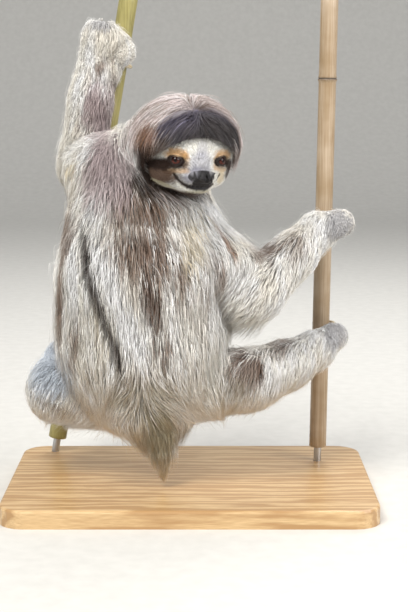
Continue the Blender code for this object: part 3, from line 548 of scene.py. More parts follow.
SPOTS = {
    "nape": Spot((-44, -28, 344), 45, 18, (0.15, -0.1, -1)),
    "throat": Spot((-26, -44, 350), 45, 16, (0.9, -0.2, -0.5)),
    "chest": Spot((-42, -25, 298), 65, 24, (0.08, 0, -1)),
    "left_scapula": Spot((-74, -8, 292), 50, 22, (0.0, 0.1, -1)),
    "mid": Spot((-49, -25, 231), 87, 26, (0.06, 0, -1)),
    "belly": Spot((-48, -23, 173), 90, 26, (0.05, 0, -1)),
    "pelvis": Spot((-47, -20, 128), 62, 24, (0.1, 0, -1)),
    "left_shoulder": Spot((-80, 5, 328), 42, 20, (-0.3, 0.2, -0.9)),
    "left_elbow": Spot((-113, 45, 335), 26, 12, (-0.35, 0.1, -0.9)),
    "left_forearm": Spot((-103, 58, 403), 24.5, 10, (-0.2, -0.15, -1)),
    "left_wrist": Spot((-93, 74, 468), 19, 7, (-0.12, -0.1, -1)),
    "left_cuff": Spot((-86, 71, 434), 17.5, 8, (-0.1, -0.1, -1), 0.4),
    "left_hand": Spot((-72, 74, 452), 15.5, 2.5, (-0.1, -0.1, -1)),
    "right_shoulder": Spot((-10, -30, 277), 36, 20, (0.6, -0.1, -0.8)),
    "right_elbow": Spot((64, -42, 217), 32, 16, (-0.5, 0.05, -0.8), 0.0),
    "right_forearm": Spot((103, -3, 248), 26, 12, (-0.35, -0.05, -1), 0.0),
    "right_wrist": Spot((131, 29, 270), 20.5, 7, (-0.25, -0.2, -1)),
    "right_hand": Spot((155, 38, 277), 15, 2.5, (0, 0, -1)),
    "left_hip": Spot((-77, 0, 107), 39, 20, (-0.5, -0.1, -0.85)),
    "left_knee": Spot((-136, -3, 109), 33, 14, (-0.35, 0, -0.95)),
    "left_ankle": Spot((-136, 66, 130), 20, 7, (0.1, -0.45, -0.9)),
    "left_foot": Spot((-114, 77, 141), 15, 2.5, (0, -0.2, -1)),
    "right_hip": Spot((-12, -33, 120), 39, 20, (0.5, -0.1, -0.85)),
    "right_knee": Spot((63, -35, 129), 32, 14, (-0.2, 0, -0.95), 0.3),
    "right_shin": Spot((100, -1, 136), 27, 12, (-0.3, 0, -1), 0.2),
    "right_ankle": Spot((131, 25, 147), 21, 7, (-0.2, -0.25, -1)),
    "right_foot": Spot((150, 36, 158), 15, 2.5, (0, 0, -1)),
    "tail_root": Spot((-36, -46, 96), 18.5, 12, (0.1, -0.1, -1), 0.4),
    "tail_middle": Spot((-30, -46, 70), 16.5, 11, (0.12, 0, -1), 0.8),
    "tail_tip": Spot((-28, -45, 53), 15.5, 11, (0.05, 0, -1), 0.9),
}


class Region(Enum):
    """Parts of the coat, each a piece or a few of its own."""

    HEAD = "head"
    NECK = "neck"
    TRUNK = "trunk"
    LEFT_ARM = "left_arm"
    RIGHT_ARM = "right_arm"
    LEFT_LEG = "left_leg"
    RIGHT_LEG = "right_leg"
    TAIL = "tail"


BONE_ENDS = {
    Region.NECK: (
        ("throat", "nape"), ("nape", "chest"), ("left_shoulder", "nape"),
    ),
    Region.TRUNK: (
        ("chest", "mid"), ("mid", "belly"), ("belly", "pelvis"), ("left_scapula", "mid"),
        ("left_scapula", "left_shoulder"), ("right_shoulder", "mid"), ("chest", "right_shoulder"),
    ),
    Region.LEFT_ARM: (
        ("left_shoulder", "left_elbow"), ("left_elbow", "left_forearm"), ("left_forearm", "left_wrist"),
        ("left_wrist", "left_cuff"), ("left_wrist", "left_hand"),
    ),
    Region.RIGHT_ARM: (
        ("right_shoulder", "right_elbow"), ("right_elbow", "right_forearm"), ("right_forearm", "right_wrist"),
        ("right_wrist", "right_hand"),
    ),
    Region.LEFT_LEG: (
        ("pelvis", "left_hip"), ("left_hip", "left_knee"), ("left_knee", "left_ankle"),
        ("left_ankle", "left_foot"),
    ),
    Region.RIGHT_LEG: (
        ("pelvis", "right_hip"), ("right_hip", "right_knee"), ("right_knee", "right_shin"),
        ("right_shin", "right_ankle"), ("right_ankle", "right_foot"),
    ),
    Region.TAIL: (
        ("pelvis", "tail_root"), ("tail_root", "tail_middle"), ("tail_middle", "tail_tip"),
    ),
}
BONES = tuple((first, second, region) for region, pairs in BONE_ENDS.items() for first, second in pairs)
FLAT_SPOTS = ("chest", "mid", "belly", "pelvis")


@dataclass(frozen=True)
class Head:
    """The head in its own frame: X to the viewer's right, Y forward to the nose, Z up."""

    centre: tuple[float, float, float] = (-3.5, -62, 357)
    yaw: float = 19.5
    nod: float = 4.0
    lean: float = 1.8
    # Places, radii and how much hair covers each form of the head
    forms: tuple = (
        ((0, -4, 3), (50, 48.5, 46.5), 3.5),
        ((0, 12, -4), (43, 33, 32), 3.0),
        ((0, 29.5, -20), (21.5, 22.5, 14), 1.2),
        ((-20, 15, -16), (18, 21, 18.5), 2.0),
        ((20, 15, -16), (18, 21, 18.5), 2.0),
        ((0, 17, 17), (36, 19.5, 18.5), 2.2),
        ((0, 26.5, -29), (17.5, 18.5, 9.2), 1.2),
    )
    skull_taper: float = 0.012
    nose: tuple = ((1.6, 50.1, -18.9), (15.6, 5.9, 5.4))
    nostrils: tuple = ((5.3, 54.9, -21.2), (2.3, 2.6, 1.5))
    mouth_half: float = 22.5
    mouth_corner: float = -18.7
    mouth_middle: float = -30.4
    lip_radius: float = 2.0
    lip_spread: float = 2.2
    eye_radius: float = 5.4
    eye_turn: float = 24.0
    lid_depth: float = 1.2
    slit_size: tuple[float, float] = (5.9, 3.8)

    def turn(self) -> Array:
        """The head's X, Y and Z axes in the model's frame.

        Returns:
            Three rows of length one.
        """
        yaw = math.radians(self.yaw)
        forward = Vector((math.sin(yaw), -math.cos(yaw), -math.tan(math.radians(self.nod)))).normalized()
        across = Vector((math.cos(yaw), math.sin(yaw), -math.tan(math.radians(self.lean)))).normalized()
        up = across.cross(forward)
        up = -up if up.z < 0 else up
        across = forward.cross(up)
        across = -across if across.x < 0 else across
        return np.array([across, forward, up])

    def local(self, points: Array) -> Array:
        """Model points in the head's frame."""
        return (points - np.array(self.centre)) @ self.turn().T

    def world(self, points: Array) -> Array:
        """Head points in the model's frame."""
        return points @ self.turn() + np.array(self.centre)


@dataclass
class Shape:
    """Distance to the skin of the whole animal."""

    head: Head
    eyes: dict[Side, Array]
    trunk_axis_y: float = -24.0
    trunk_flat: float = 0.88
    trunk_slope: float = 0.94
    limb_blend: float = 5.0
    body_blend: float = 13.0
    tail_blend: float = 4.0
    form_blend: float = 6.0
    head_blend: float = 9.0
    skin_depth: float = 0.78
    # Bare skin between nose and mouth: centre and radii
    under: tuple = ((2.5, 48, -25.0), (10.5, 12, 4.6))
    # Hollow in front of an eye, in the eye's own frame: centre and radii
    socket: tuple = ((0, 0.5, 11.5), (12.5, 9.5, 8.6))
    socket_blend: float = 5.0
    lid_blend: float = 1.6
    nose_blend: float = 3.0
    lip_blend: float = 1.6
    mouth_gap: float = 0.75
    # Half sizes of the bare skin round an eye
    rim: tuple[float, float] = (8.6, 5.1)
    # The outer corner of an eye lies higher than the inner one, in degrees
    corner_lift: float = 8.0
    # Stands for far away in the distance to bare skin
    far: float = 60.0

    def __post_init__(self) -> None:
        """Works out the places and radii of the skin and the lines of the mouth."""
        head = self.head
        self.places = {name: np.array(spot.place, float) for name, spot in SPOTS.items()}
        self.radii = {name: spot.radius - self.skin_depth * spot.coat for name, spot in SPOTS.items()}
        self.nose = [np.array(row, float) for row in head.nose]
        self.mouth = self.mouth_path(0.0)
        self.lips = [self.mouth_path(shift) for shift in (head.lip_spread, -head.lip_spread)]

    def bone_distances(self, points: Array) -> Array:
        """One row of distances a bone.

        Args:
            points: rows in the model's frame.

        Returns:
            A row for each bone.
        """
        flat = points.copy()
        flat[:, 1] = self.trunk_axis_y + (flat[:, 1] - self.trunk_axis_y) / self.trunk_flat
        rows = []
        for first, second, _ in BONES:
            squashed = first in FLAT_SPOTS and second in FLAT_SPOTS
            place = flat if squashed else points
            start, end = self.places[first], self.places[second]
            near = round_cone(place, start, end, self.radii[first], self.radii[second])
            rows.append(near * (self.trunk_slope if squashed else 1.0))
        return np.array(rows)

    def body_distance(self, rows: Array) -> Array:
        """Joins the bones, softly at the limbs' roots.

        Args:
            rows: distances from bone_distances.

        Returns:
            One value a point.
        """
        whole = None
        for region in Region:
            members = [row for row, bone in zip(rows, BONES) if bone[2] is region]
            if not members:
                continue
            part = members[0]
            for member in members[1:]:
                part = blend_min(part, member, self.limb_blend)
            blend = self.tail_blend if region is Region.TAIL else self.body_blend
            whole = part if whole is None else blend_min(whole, part, blend)
        return whole

    def head_forms(self, place: Array) -> Array:
        """Distance to the plain forms of the head.

        Args:
            place: rows in the head's frame.

        Returns:
            One value a row.
        """
        whole = None
        # The skull narrows towards the jaw
        narrow = place.copy()
        narrow[:, 0] *= 1 + self.head.skull_taper * np.clip(3 - place[:, 2], 0, 40)
        for centre, radii, hair in self.head.forms:
            seen = narrow if whole is None else place
            part = ellipsoid(seen, np.array(centre, float), np.array(radii, float) - hair)
            whole = part if whole is None else blend_min(whole, part, self.form_blend)
        return whole

    def face_place(self, across: Array, up: Array) -> Array:
        """Points of the plain face in front of places given across and up, in the head's frame.

        Args:
            across: places along X.
            up: places along Z.

        Returns:
            Rows in the head's frame.
        """
        place = np.stack([across, np.full(len(across), 75.0), up], axis=1)
        for _ in range(40):
            place[:, 1] -= self.head_forms(place) * 0.8
        return place

    def mouth_path(self, shift: float) -> Array:
        """The line of the mouth on the face.

        Args:
            shift: how far above the mouth it runs.

        Returns:
            Rows from corner to corner.
        """
        share = np.linspace(-1, 1, 25)
        rise = self.head.mouth_corner - self.head.mouth_middle
        up = self.head.mouth_middle + rise * np.abs(share) ** 3 + shift * (1 - np.abs(share) ** 3)
        return self.face_place(share * self.head.mouth_half, up)

    def lip_widths(self, place: Array) -> Array:
        """Lips are full in the middle and thin at the corners of the mouth."""
        share = np.clip(np.abs(place[:, 0]) / self.head.mouth_half, 0, 1)
        return self.head.lip_radius * (1 - 0.45 * share**2)

    def eye_frame(self, side: Side) -> tuple[Array, Array]:
        """Centre of an eye in the head's frame and rows across, up and out of it.

        Args:
            side: the eye's side.

        Returns:
            The centre and the three rows.
        """
        sign = -1 if side is Side.LEFT else 1
        turn = math.radians(self.head.eye_turn)
        look = np.array([sign * math.sin(turn), math.cos(turn), 0.0])
        across = np.array([math.cos(turn), -sign * math.sin(turn), 0.0])
        tilt = math.radians(self.corner_lift) * sign
        up = np.array([0, 0, 1.0])
        turned = across * math.cos(tilt) + up * math.sin(tilt)
        raised = up * math.cos(tilt) - across * math.sin(tilt)
        return self.head.local(self.eyes[side][None])[0], np.array([turned, raised, look])

    def from_eye(self, place: Array, side: Side) -> Array:
        """Places of the head's frame in the frame of an eye."""
        centre, rows = self.eye_frame(side)
        return (place - centre) @ rows.T

    def slit(self, spot: Array) -> Array:
        """Distance to the almond opening between the lids, in an eye's own frame.

        Args:
            spot: rows in the eye's frame.

        Returns:
            One value a row, negative in the opening.
        """
        wide, high = self.head.slit_size
        bow = (wide**2 + high**2) / (2 * high)
        rise = spot[:, 1]
        upper = np.hypot(spot[:, 0], rise + bow - high) - bow
        lower = np.hypot(spot[:, 0], rise - bow + high) - bow
        return np.maximum(np.maximum(upper, lower), 1.0 - spot[:, 2])

    def open_eyes(self, points: Array) -> Array:
        """Presses the skin back behind the eyes where the lids part.

        Args:
            points: rows in the model's frame.

        Returns:
            The points, some of them moved.
        """
        place = self.head.local(points)
        for side in Side:
            centre, rows = self.eye_frame(side)
            spot = (place - centre) @ rows.T
            reach = np.maximum(np.linalg.norm(spot, axis=1), 1e-6)
            inside = (reach < self.head.eye_radius + 3) & (spot[:, 2] > 1)
            sunk = self.head.eye_radius - 1.0
            share = smooth(0.15, -0.25, self.slit(spot)) * inside
            spot = spot * (1 + (sunk / reach - 1) * share)[:, None]
            place = np.where(inside[:, None], spot @ rows + centre, place)
        return self.head.world(place)

    def face_detail(self, place: Array, plain: Array) -> Array:
        """Adds nose, lips, sockets and lids to the head's plain forms.

        Args:
            place: rows in the head's frame.
            plain: distance to the plain forms.

        Returns:
            One value a row.
        """
        whole = plain
        for side in Side:
            spot = self.from_eye(place, side)
            whole = blend_max(whole, -ellipsoid(spot, *self.socket), self.socket_blend)
            lid = np.linalg.norm(spot, axis=1) - self.head.eye_radius - self.head.lid_depth
            whole = blend_min(whole, lid, self.lid_blend)
        centre, radii = self.nose
        whole = blend_min(whole, ellipsoid(place, centre, radii), self.nose_blend)
        for path in self.lips:
            whole = blend_min(whole, polyline(place, path) - self.lip_widths(place) + 0.35, self.lip_blend)
        whole = blend_max(whole, self.mouth_gap - polyline(place, self.mouth), 0.7)
        middle, opening = (np.array(row, float) for row in self.head.nostrils)
        for sign in (-1, 1):
            start = middle * (sign, 1, 1)
            hole = ellipsoid(place, start, opening)
            # Each nostril runs out into a curved slit at its side
            slit = polyline(place, np.array([start, start + (sign * 4.2, -3.2, 1.6)])) - 0.75
            whole = blend_max(whole, -blend_min(hole, slit, 0.8), 0.8)
        return whole

    def distance(self, points: Array, fine: bool = False) -> Array:
        """Distance to the skin in millimetres, negative inside.

        Args:
            points: rows in the model's frame.
            fine: adds the detail of the face.

        Returns:
            One value a row.
        """
        body = self.body_distance(self.bone_distances(points))
        place = self.head.local(points)
        head = self.head_forms(place)
        if fine:
            face = (np.abs(place[:, 0]) < 42) & (place[:, 1] > 8)
            face &= (np.abs(place[:, 2]) < 46) & (np.abs(head) < 14)
            head = head.copy()
            head[face] = self.face_detail(place[face], head[face])
        return blend_min(body, head, self.head_blend)

    def slope(self, points: Array, fine: bool = False) -> tuple[Array, Array]:
        """Distance and outward direction at points.

        Args:
            points: rows in the model's frame.
            fine: adds the detail of the face.

        Returns:
            One distance and one direction a row.
        """
        reach = 0.12 if fine else 0.5
        turns = np.array([(1, -1, -1), (-1, -1, 1), (-1, 1, -1), (1, 1, 1)], float)
        samples = [self.distance(points + turn * reach, fine) for turn in turns]
        out = sum(turn * sample[:, None] for turn, sample in zip(turns, samples))
        return sum(samples) / 4, unit(out)

    def near_bare(self, points: Array) -> Array:
        """Distance to the bare skin of nose, lips and lid rims, up to the far value.

        Args:
            points: rows in the model's frame.

        Returns:
            One value a row.
        """
        place = self.head.local(points)
        found = np.full(len(points), self.far)
        near = np.linalg.norm(place - (0, 40, -15), axis=1) < self.far
        some = place[near]
        centre, radii = self.nose
        least = ellipsoid(some, centre, radii)
        least = np.minimum(least, polyline(some, self.mouth) - self.lip_widths(some) - self.head.lip_spread)
        least = np.minimum(least, ellipsoid(some, *self.under))
        for side in Side:
            spot = self.from_eye(some, side)
            ring = np.sqrt((spot[:, 0] / self.rim[0]) ** 2 + (spot[:, 1] / self.rim[1]) ** 2)
            least = np.minimum(least, (ring - 1) * 7.5 + 100 * (np.abs(spot[:, 2] - 3) > 12))
        found[near] = np.clip(least, 0, self.far)
        return found

    def bare(self, points: Array) -> Array:
        """From 0 in hair to 1 on bare skin of nose, lips and lid rims.

        Args:
            points: rows in the model's frame.

        Returns:
            One value a row.
        """
        place = self.head.local(points)
        near = np.linalg.norm(place - (0, 46, -22), axis=1) < 45
        found = np.zeros(len(points))
        some = place[near]
        centre, radii = self.nose
        pad = 1 - smooth(0.0, 1.2, ellipsoid(some, centre, radii * 1.02))
        # Between the nose and the mouth the skin is bare as well
        share = np.clip(np.abs(some[:, 0]) / self.head.mouth_half, 0, 1)
        width = self.lip_widths(some) + self.head.lip_spread * (1 - share**3)
        lip = polyline(some, self.mouth) - width
        under = ellipsoid(some, *self.under)
        found[near] = np.maximum(pad, 1 - smooth(-0.1, 0.9, np.minimum(lip, under)))
        for side in Side:
            spot = self.from_eye(place, side)
            ring = np.sqrt((spot[:, 0] / self.rim[0]) ** 2 + (spot[:, 1] / self.rim[1]) ** 2)
            rim = (1 - smooth(0.95, 1.12, ring)) * (np.abs(spot[:, 2] - 3) < 8)
            found = np.maximum(found, rim)
        return found


@dataclass
class Lie:
    """The way the coat lies, how deep it is and how it hangs, at any place of the body."""

    shape: Shape
    spot_core: float = 0.6
    nearest: float = 4.0
    hood_depth: float = 12.0
    face_depth: float = 1.5
    face_radii: tuple[float, float] = (44.0, 27.3)
    face_middle: float = -11.0
    fringe: float = 2.5
    # The whorl of hair over the tail
    whorl: tuple[float, float, float] = (-46.0, 0.0, 124.0)
    whorl_reach: float = 30.0
    whorl_spread: float = 1.3
    whorl_lift: float = 0.5

    def body(self, points: Array) -> tuple[Array, Array, Array]:
        """Direction, depth and hang from the spots round each point.

        Args:
            points: rows in the model's frame.

        Returns:
            A direction, a depth and a hang for each row.
        """
        flow = np.zeros_like(points)
        depth = np.zeros(len(points))
        hang = np.zeros(len(points))
        total = np.zeros(len(points))
        for spot in SPOTS.values():
            away = np.linalg.norm(points - np.array(spot.place, float), axis=1)
            weight = np.maximum(away - self.spot_core * spot.radius, self.nearest) ** -3.0
            flow += np.array(spot.lie) * weight[:, None]
            depth += spot.coat * weight
            hang += spot.hang * weight
            total += weight
        flow /= total[:, None]
        # Hair turns outward round the whorl over the tail
        x, _, z = (points - self.whorl).T
        spread = np.exp(-(x**2 + z**2) / self.whorl_reach**2)
        flow[:, 0] += self.whorl_spread * np.clip(x / 18, -1, 1) * spread
        flow[:, 2] += self.whorl_lift * spread
        return flow, depth / total, hang / total

    def head_flow(self, place: Array) -> tuple[Array, Array]:
        """The same on the head, in the head's frame.

        Args:
            place: rows in the head's frame.

        Returns:
            A direction and a depth for each row.
        """
        x, y, z = place.T
        # Long hair parts on the crown, sweeps round the face and turns back under the chin
        height = np.clip(z, 0, None) / 48
        sweep = smooth(14, 34, -z) * smooth(-10, 10, y)
        hood = np.stack(
            [
                np.clip(x / 10, -1, 1) * (0.15 + 1.25 * height) * (1 - sweep) + 1.1 * sweep,
                np.where(y > 20, 0.1, -0.28) * (1 - sweep) - 0.1 * sweep,
                -0.25
                - 0.85 * np.clip(np.abs(x) / 38, 0, 1) * (1 - 0.6 * sweep)
                - 0.45 * (1 - height) * (1 - sweep),
            ],
            axis=1,
        )
        # Short hair runs out from the nose over the face
        face = np.stack([x * 1.3 + 0.01, np.full(len(x), -12.0), z + 19 + 6 * smooth(-10, 20, z)], axis=1)
        share = self.face_share(place)[:, None]
        turned = smooth(1.02, 0.99, self.face_ring(place))[:, None] * smooth(2, 8, y)[:, None]
        flow = unit(hood) * (1 - turned) + unit(face) * turned
        long = self.hood_depth * (1 - 0.55 * smooth(-8, -26, z) * smooth(-8, 12, x))
        depth = long * (1 - share[:, 0]) + self.face_depth * share[:, 0]
        return flow, depth

    def face_ring(self, place: Array) -> Array:
        """Below 1 on the face, above it in the long hair round it, seen from the front.

        Args:
            place: rows in the head's frame.

        Returns:
            One value a row.
        """
        x, _, z = place.T
        wide, high = self.face_radii
        return np.sqrt((x / wide) ** 2 + ((z - self.face_middle) / high) ** 2)

    def face_share(self, place: Array) -> Array:
        """From 0 in the long hair of the head to 1 on the short hair of the face."""
        return (1 - smooth(0.93, 1.05, self.face_ring(place))) * smooth(4, 14, place[:, 1])

    def longest(self, points: Array, way: Array, near: Array) -> Array:
        """How long a hair may be before it hides the face, its nose, lips or eyes.

        Args:
            points: roots in the model's frame.
            way: directions of the hairs.
            near: distance of each root to bare skin.

        Returns:
            One length a row.
        """
        place = self.shape.head.local(points)
        turned = way @ self.shape.head.turn().T
        away = place[:, [0, 2]] - (0, self.face_middle)
        size = np.maximum(np.linalg.norm(away, axis=1), 1e-6)
        ring = self.face_ring(place)
        edge = (ring - 1) * size / np.maximum(ring, 0.1)
        inward = -(turned[:, [0, 2]] * away).sum(axis=1) / size
        fringe = (np.maximum(edge, 0) + self.fringe) / np.clip(inward, 0.1, 1)
        front = (place[:, 1] > 2) & (inward > 0) & (edge > -3)
        return np.minimum(np.where(front, fringe, 200.0), 0.6 + 0.85 * near)

    def on_head(self, points: Array) -> Array:
        """Share of the head in the coat at points.

        Args:
            points: rows in the model's frame.

        Returns:
            One value a row.
        """
        place = self.shape.head.local(points)
        head = self.shape.head_forms(place)
        body = self.shape.body_distance(self.shape.bone_distances(points))
        return smooth(-6, 6, body - head)

    def at(self, points: Array) -> tuple[Array, Array, Array]:
        """Direction, depth and hang of the coat in the model's frame.

        Args:
            points: rows in the model's frame.

        Returns:
            A direction, a depth and a hang for each row.
        """
        flow, depth, hang = self.body(points)
        head = self.on_head(points)
        part = head > 0
        if part.any():
            place = self.shape.head.local(points[part])
            way, deep = self.head_flow(place)
            share = head[part]
            way = way @ self.shape.head.turn()
            flow[part] = flow[part] * (1 - share)[:, None] + way * share[:, None]
            depth[part] = depth[part] * (1 - share) + deep * share
            hang[part] *= 1 - 0.6 * share
        return unit(flow), depth, hang


# Markings


@dataclass(frozen=True)
class Mark:
    """A patch of colour: where it is seen from behind, its radii, turn, colour and strength."""

    x: float
    z: float
    wide: float
    high: float
    turn: float
    tone: str
    strength: float


@dataclass(frozen=True)
class Palette:
    """Colours of the coat."""

    white: str = "fcfcfd"
    cream: str = "f3efe8"
    straw: str = "ded0b2"
    taupe: str = "92806f"
    brown: str = "634d40"
    dark: str = "47372c"
    khaki: str = "a89f88"
    grey: str = "b4b3b6"
    rust: str = "8f6240"
    orange: str = "cfa062"
    pale: str = "dbd8cf"
    muzzle: str = "a9a9b8"
    brow: str = "4e4a5a"
    black: str = "29272a"
    crown: str = "e3d5d3"
    cheek: str = "5a4334"
    chin: str = "b9b296"
    tan: str = "b08f66"
    stripe: str = "2b1b12"
    # The throat tone is the painted shadow under the jaw
    throat: str = "42332a"
    mauve: str = "bcacad"
    umber: str = "80695a"
    # This bluish white is white fur with a painted cool cast of shade
    blue: str = "cfd8e4"


@dataclass
class Markings:
    """Colours of skin and coat by place, mixed hair by hair."""

    shape: Shape
    lie: Lie
    palette: Palette
    stripe: tuple = (
        (-102, 286), (-100, 264), (-98, 242), (-91, 220), (-83, 200),
        (-74, 179), (-68, 158), (-64, 144), (-61, 137),
    )
    stripe_half: float = 4.4
    # Sizes of the streaks: narrow across the coat and long along it
    streak_cell: tuple[float, float, float] = (5.5, 5.5, 38)
    fine_cell: tuple[float, float, float] = (2.2, 2.2, 26)
    broad_cell: tuple[float, float, float] = (26, 26, 60)
    body_marks: tuple = tuple(Mark(*row) for row in (
        # Pale bands beside the stripe and pale edges
        (-72, 222, 9, 60, 22, "white", 0.8), (-54, 182, 13, 40, 20, "white", 0.6),
        (-113, 236, 7, 46, 3, "white", 0.6), (-92, 300, 10, 16, 15, "white", 0.5),
        # The white patch on the right shoulder is partly pale fur and partly painted sunlight
        (20, 282, 24, 26, -30, "white", 0.9), (8, 296, 12, 8, 0, "white", 0.9),
        (-66, 224, 10, 66, 22, "lighter", 0.7), (-50, 180, 17, 44, 20, "lighter", 0.6),
        (-106, 230, 9, 60, 6, "lighter", 0.6), (-123, 236, 4, 40, -2, "lighter", 0.6),
        (-98, 300, 14, 14, 20, "lighter", 0.6), (-82, 292, 8, 14, 0, "lighter", 0.5),
        (4, 284, 26, 24, -30, "lighter", 0.5), (-60, 148, 26, 26, 0, "lighter", 0.35),
        (44, 215, 20, 30, 10, "lighter", 0.4),
        # Taupe and brown of the back
        (-122, 273, 9, 26, 0, "umber", 0.55), (-128, 200, 5, 46, -3, "umber", 0.6),
        (-115, 156, 5, 26, -22, "umber", 0.55), (-112, 178, 6, 9, 0, "umber", 0.4),
        (-54, 278, 31, 40, 14, "umber", 0.42), (-40, 240, 26, 40, 14, "umber", 0.36),
        (-12, 262, 30, 36, 0, "umber", 0.3), (-60, 272, 12, 26, 16, "darker", 0.3),
        (26, 238, 16, 40, -8, "umber", 0.25), (-20, 236, 22, 30, 10, "darker", 0.25),
        (20, 216, 20, 50, 0, "darker", 0.12), (-36, 213, 10, 24, 12, "brown", 0.8),
        (-30, 199, 5, 12, 10, "brown", 0.7), (-31, 172, 3.5, 11, 8, "brown", 0.8),
        (-19, 172, 4, 9, 0, "umber", 0.7), (-25, 158, 3.5, 8, 5, "brown", 0.7),
        (-4, 228, 11, 30, 5, "umber", 0.3), (14, 200, 9, 34, 0, "umber", 0.18),
        (30, 236, 8, 22, 10, "umber", 0.25), (6, 268, 14, 34, -10, "straw", 0.45),
        (38, 266, 3.2, 17, 34, "rust", 0.55), (-86, 190, 16, 40, 20, "straw", 0.3),
        # Neck and collar
        (-78, 330, 34, 34, 20, "mauve", 0.7), (-84, 354, 16, 22, 0, "mauve", 0.6),
        (-84, 350, 12, 22, 0, "umber", 0.3), (-52, 308, 30, 20, -10, "umber", 0.4),
        # The stripe-toned marks under the chin are painted shadow between chin and neck
        (-20, 303, 22, 9, 0, "umber", 0.45), (-41, 326, 17, 13, -20, "stripe", 1.0),
        (-28, 318, 22, 9, -14, "stripe", 1.0), (-5, 311, 24, 7, -4, "stripe", 1.0),
        # Rump and tail
        (-43, 114, 50, 22, 0, "khaki", 0.4), (-46, 132, 46, 18, 0, "umber", 0.32),
        (-32, 78, 26, 30, 0, "khaki", 0.4), (-88, 132, 22, 22, 0, "darker", 0.2),
        (-28, 66, 20, 32, 0, "khaki", 0.6), (-32, 84, 7, 24, 10, "brown", 0.45),
        (-46, 126, 12, 8, 0, "brown", 0.3),
        # Left leg
        # The bluish mark on the left knee is painted cool shade on white fur
        (-146, 138, 16, 12, -10, "darker", 0.4), (-140, 128, 30, 26, -15, "blue", 0.6),
        (-140, 122, 19, 12, -15, "lighter", 0.3), (-142, 101, 23, 3, -24, "brown", 0.55),
        (-105, 92, 20, 3.5, -3, "brown", 0.45),
        # Right leg
        (47, 155, 9, 8, 0, "brown", 0.5), (54, 136, 26, 20, 20, "umber", 0.55),
        (40, 118, 22, 20, 0, "khaki", 0.4), (90, 158, 14, 9, 15, "umber", 0.45),
        (71, 136, 3.5, 14, 15, "brown", 0.5), (122, 166, 9, 16, 25, "lighter", 0.6),
        (151, 162, 16, 18, 0, "grey", 0.6),
        # Right arm
        (74, 256, 20, 8, 14, "umber", 0.5), (80, 248, 4, 7, 0, "brown", 0.4),
        (106, 258, 14, 16, 30, "umber", 0.4), (127, 270, 9, 17, 35, "lighter", 0.6),
        (152, 276, 18, 18, 0, "grey", 0.6), (92, 228, 32, 13, 40, "lighter", 0.55),
        (57, 216, 25, 14, 10, "lighter", 0.45),
        # Left arm
        (-92, 479, 20, 7, 0, "grey", 0.5), (-80, 458, 24, 14, 0, "lighter", 0.6),
        (-90, 438, 12, 6, 10, "umber", 0.4), (-92, 394, 22, 34, -8, "mauve", 0.5),
        (-97, 386, 15, 24, -8, "umber", 0.5), (-88, 424, 18, 12, 0, "umber", 0.3),
        (-94, 421, 3.5, 17, -42, "white", 0.6), (-124, 392, 7, 42, -12, "lighter", 0.75),
        (-96, 367, 13, 4, 0, "white", 0.55), (-121, 348, 13, 22, 0, "lighter", 0.65),
        (-120, 334, 8, 8, 0, "straw", 0.5),
    ))
    # Edges across the head: top of the pale face, both edges of the dark brow band and the jaw's lower edge
    face_top: tuple = ((-43.5, -37, -29, -18, 0, 22, 34, 40), (-6, 2, 9, 13.3, 16.4, 15, 10, 2))
    band_low: tuple = ((-44, -31, -18, 0, 22, 34, 40), (12, 12, 13.3, 16.4, 15, 10, 2))
    band_top: tuple = (
        (-41, -36, -27, -16.5, -6.5, 3.3, 10.4, 22.6, 31.6, 39),
        (15, 26, 34, 38.3, 39, 43.5, 41.8, 38.6, 32.5, 22),
    )
    jaw_edge: tuple = (
        (-46, -37, -25, -11, 2.5, 15, 25, 34, 40),
        (-23, -28.5, -32.8, -35.4, -36.8, -37, -34, -25, -12),
    )
    face_marks: tuple = tuple(Mark(*row) for row in (
        (0.5, -7, 12, 13, 0, "muzzle", 0.55), (-8, -18, 11, 8, 15, "muzzle", 0.7),
        (2, 6, 6, 9, 0, "muzzle", 0.3), (-14, -24, 10, 5, -25, "brow", 0.4), (1, -14, 13, 5, 0, "brow", 0.35),
        (-22, 0, 11, 7.5, -8, "orange", 0.8), (-15, -5, 4.2, 8.5, 0, "orange", 0.5),
        (-20, -14.6, 9, 3.0, 4, "orange", 0.55), (25.5, -0.5, 11, 6.5, -10, "orange", 0.75),
        (16.5, -6, 3.6, 8, 0, "orange", 0.5), (24, -13.2, 8, 3, -6, "orange", 0.5),
        (-27, -15.5, 6, 4, 0, "tan", 0.7), (-35.5, -20, 17.5, 11, -12, "cheek", 0.97),
        (25, -21, 5, 8, 10, "straw", 0.7), (-31, -29.3, 15, 2.4, -20, "chin", 0.75),
        (4, -35.5, 18, 2.4, 0, "chin", 0.6), (-35.5, -10, 13.5, 6.6, 4, "stripe", 1.0),
        (-22, -8, 10.6, 6.6, 4, "stripe", 0.95), (24.3, -5.8, 9.6, 6.4, -6, "stripe", 0.95),
        (34.5, -9.5, 7, 6, -30, "stripe", 0.95), (34.5, -17, 4.5, 8, -22, "stripe", 0.85),
    ))
    hood_marks: tuple = tuple(Mark(*row) for row in (
        (-46, 6, 6.5, 17, 4, "rust", 0.75), (-37, 3, 6, 12, -32, "dark", 0.85),
        # The stripe-toned marks at the left of the face and under the jaw are painted shadow in the gap
        # between hood and face
        (43, 6, 4.5, 18, 0, "cheek", 0.7), (-45, -16, 8.5, 20, 4, "stripe", 1.0),
        (-38, -32, 14, 8, -30, "stripe", 0.95), (5, -41, 26, 5, 0, "stripe", 0.9),
        (3, 45, 5, 10, 0, "brown", 0.6), (5, 50, 2.5, 8, 0, "white", 0.5),
        (30, 40, 13, 14, 35, "umber", 0.45),
    ))

    def __post_init__(self) -> None:
        """Turns the palette's codes to linear colours."""
        codes = {field.name: getattr(self.palette, field.name) for field in fields(Palette)}
        self.tones = {name: np.array(linear(code)) for name, code in codes.items()}

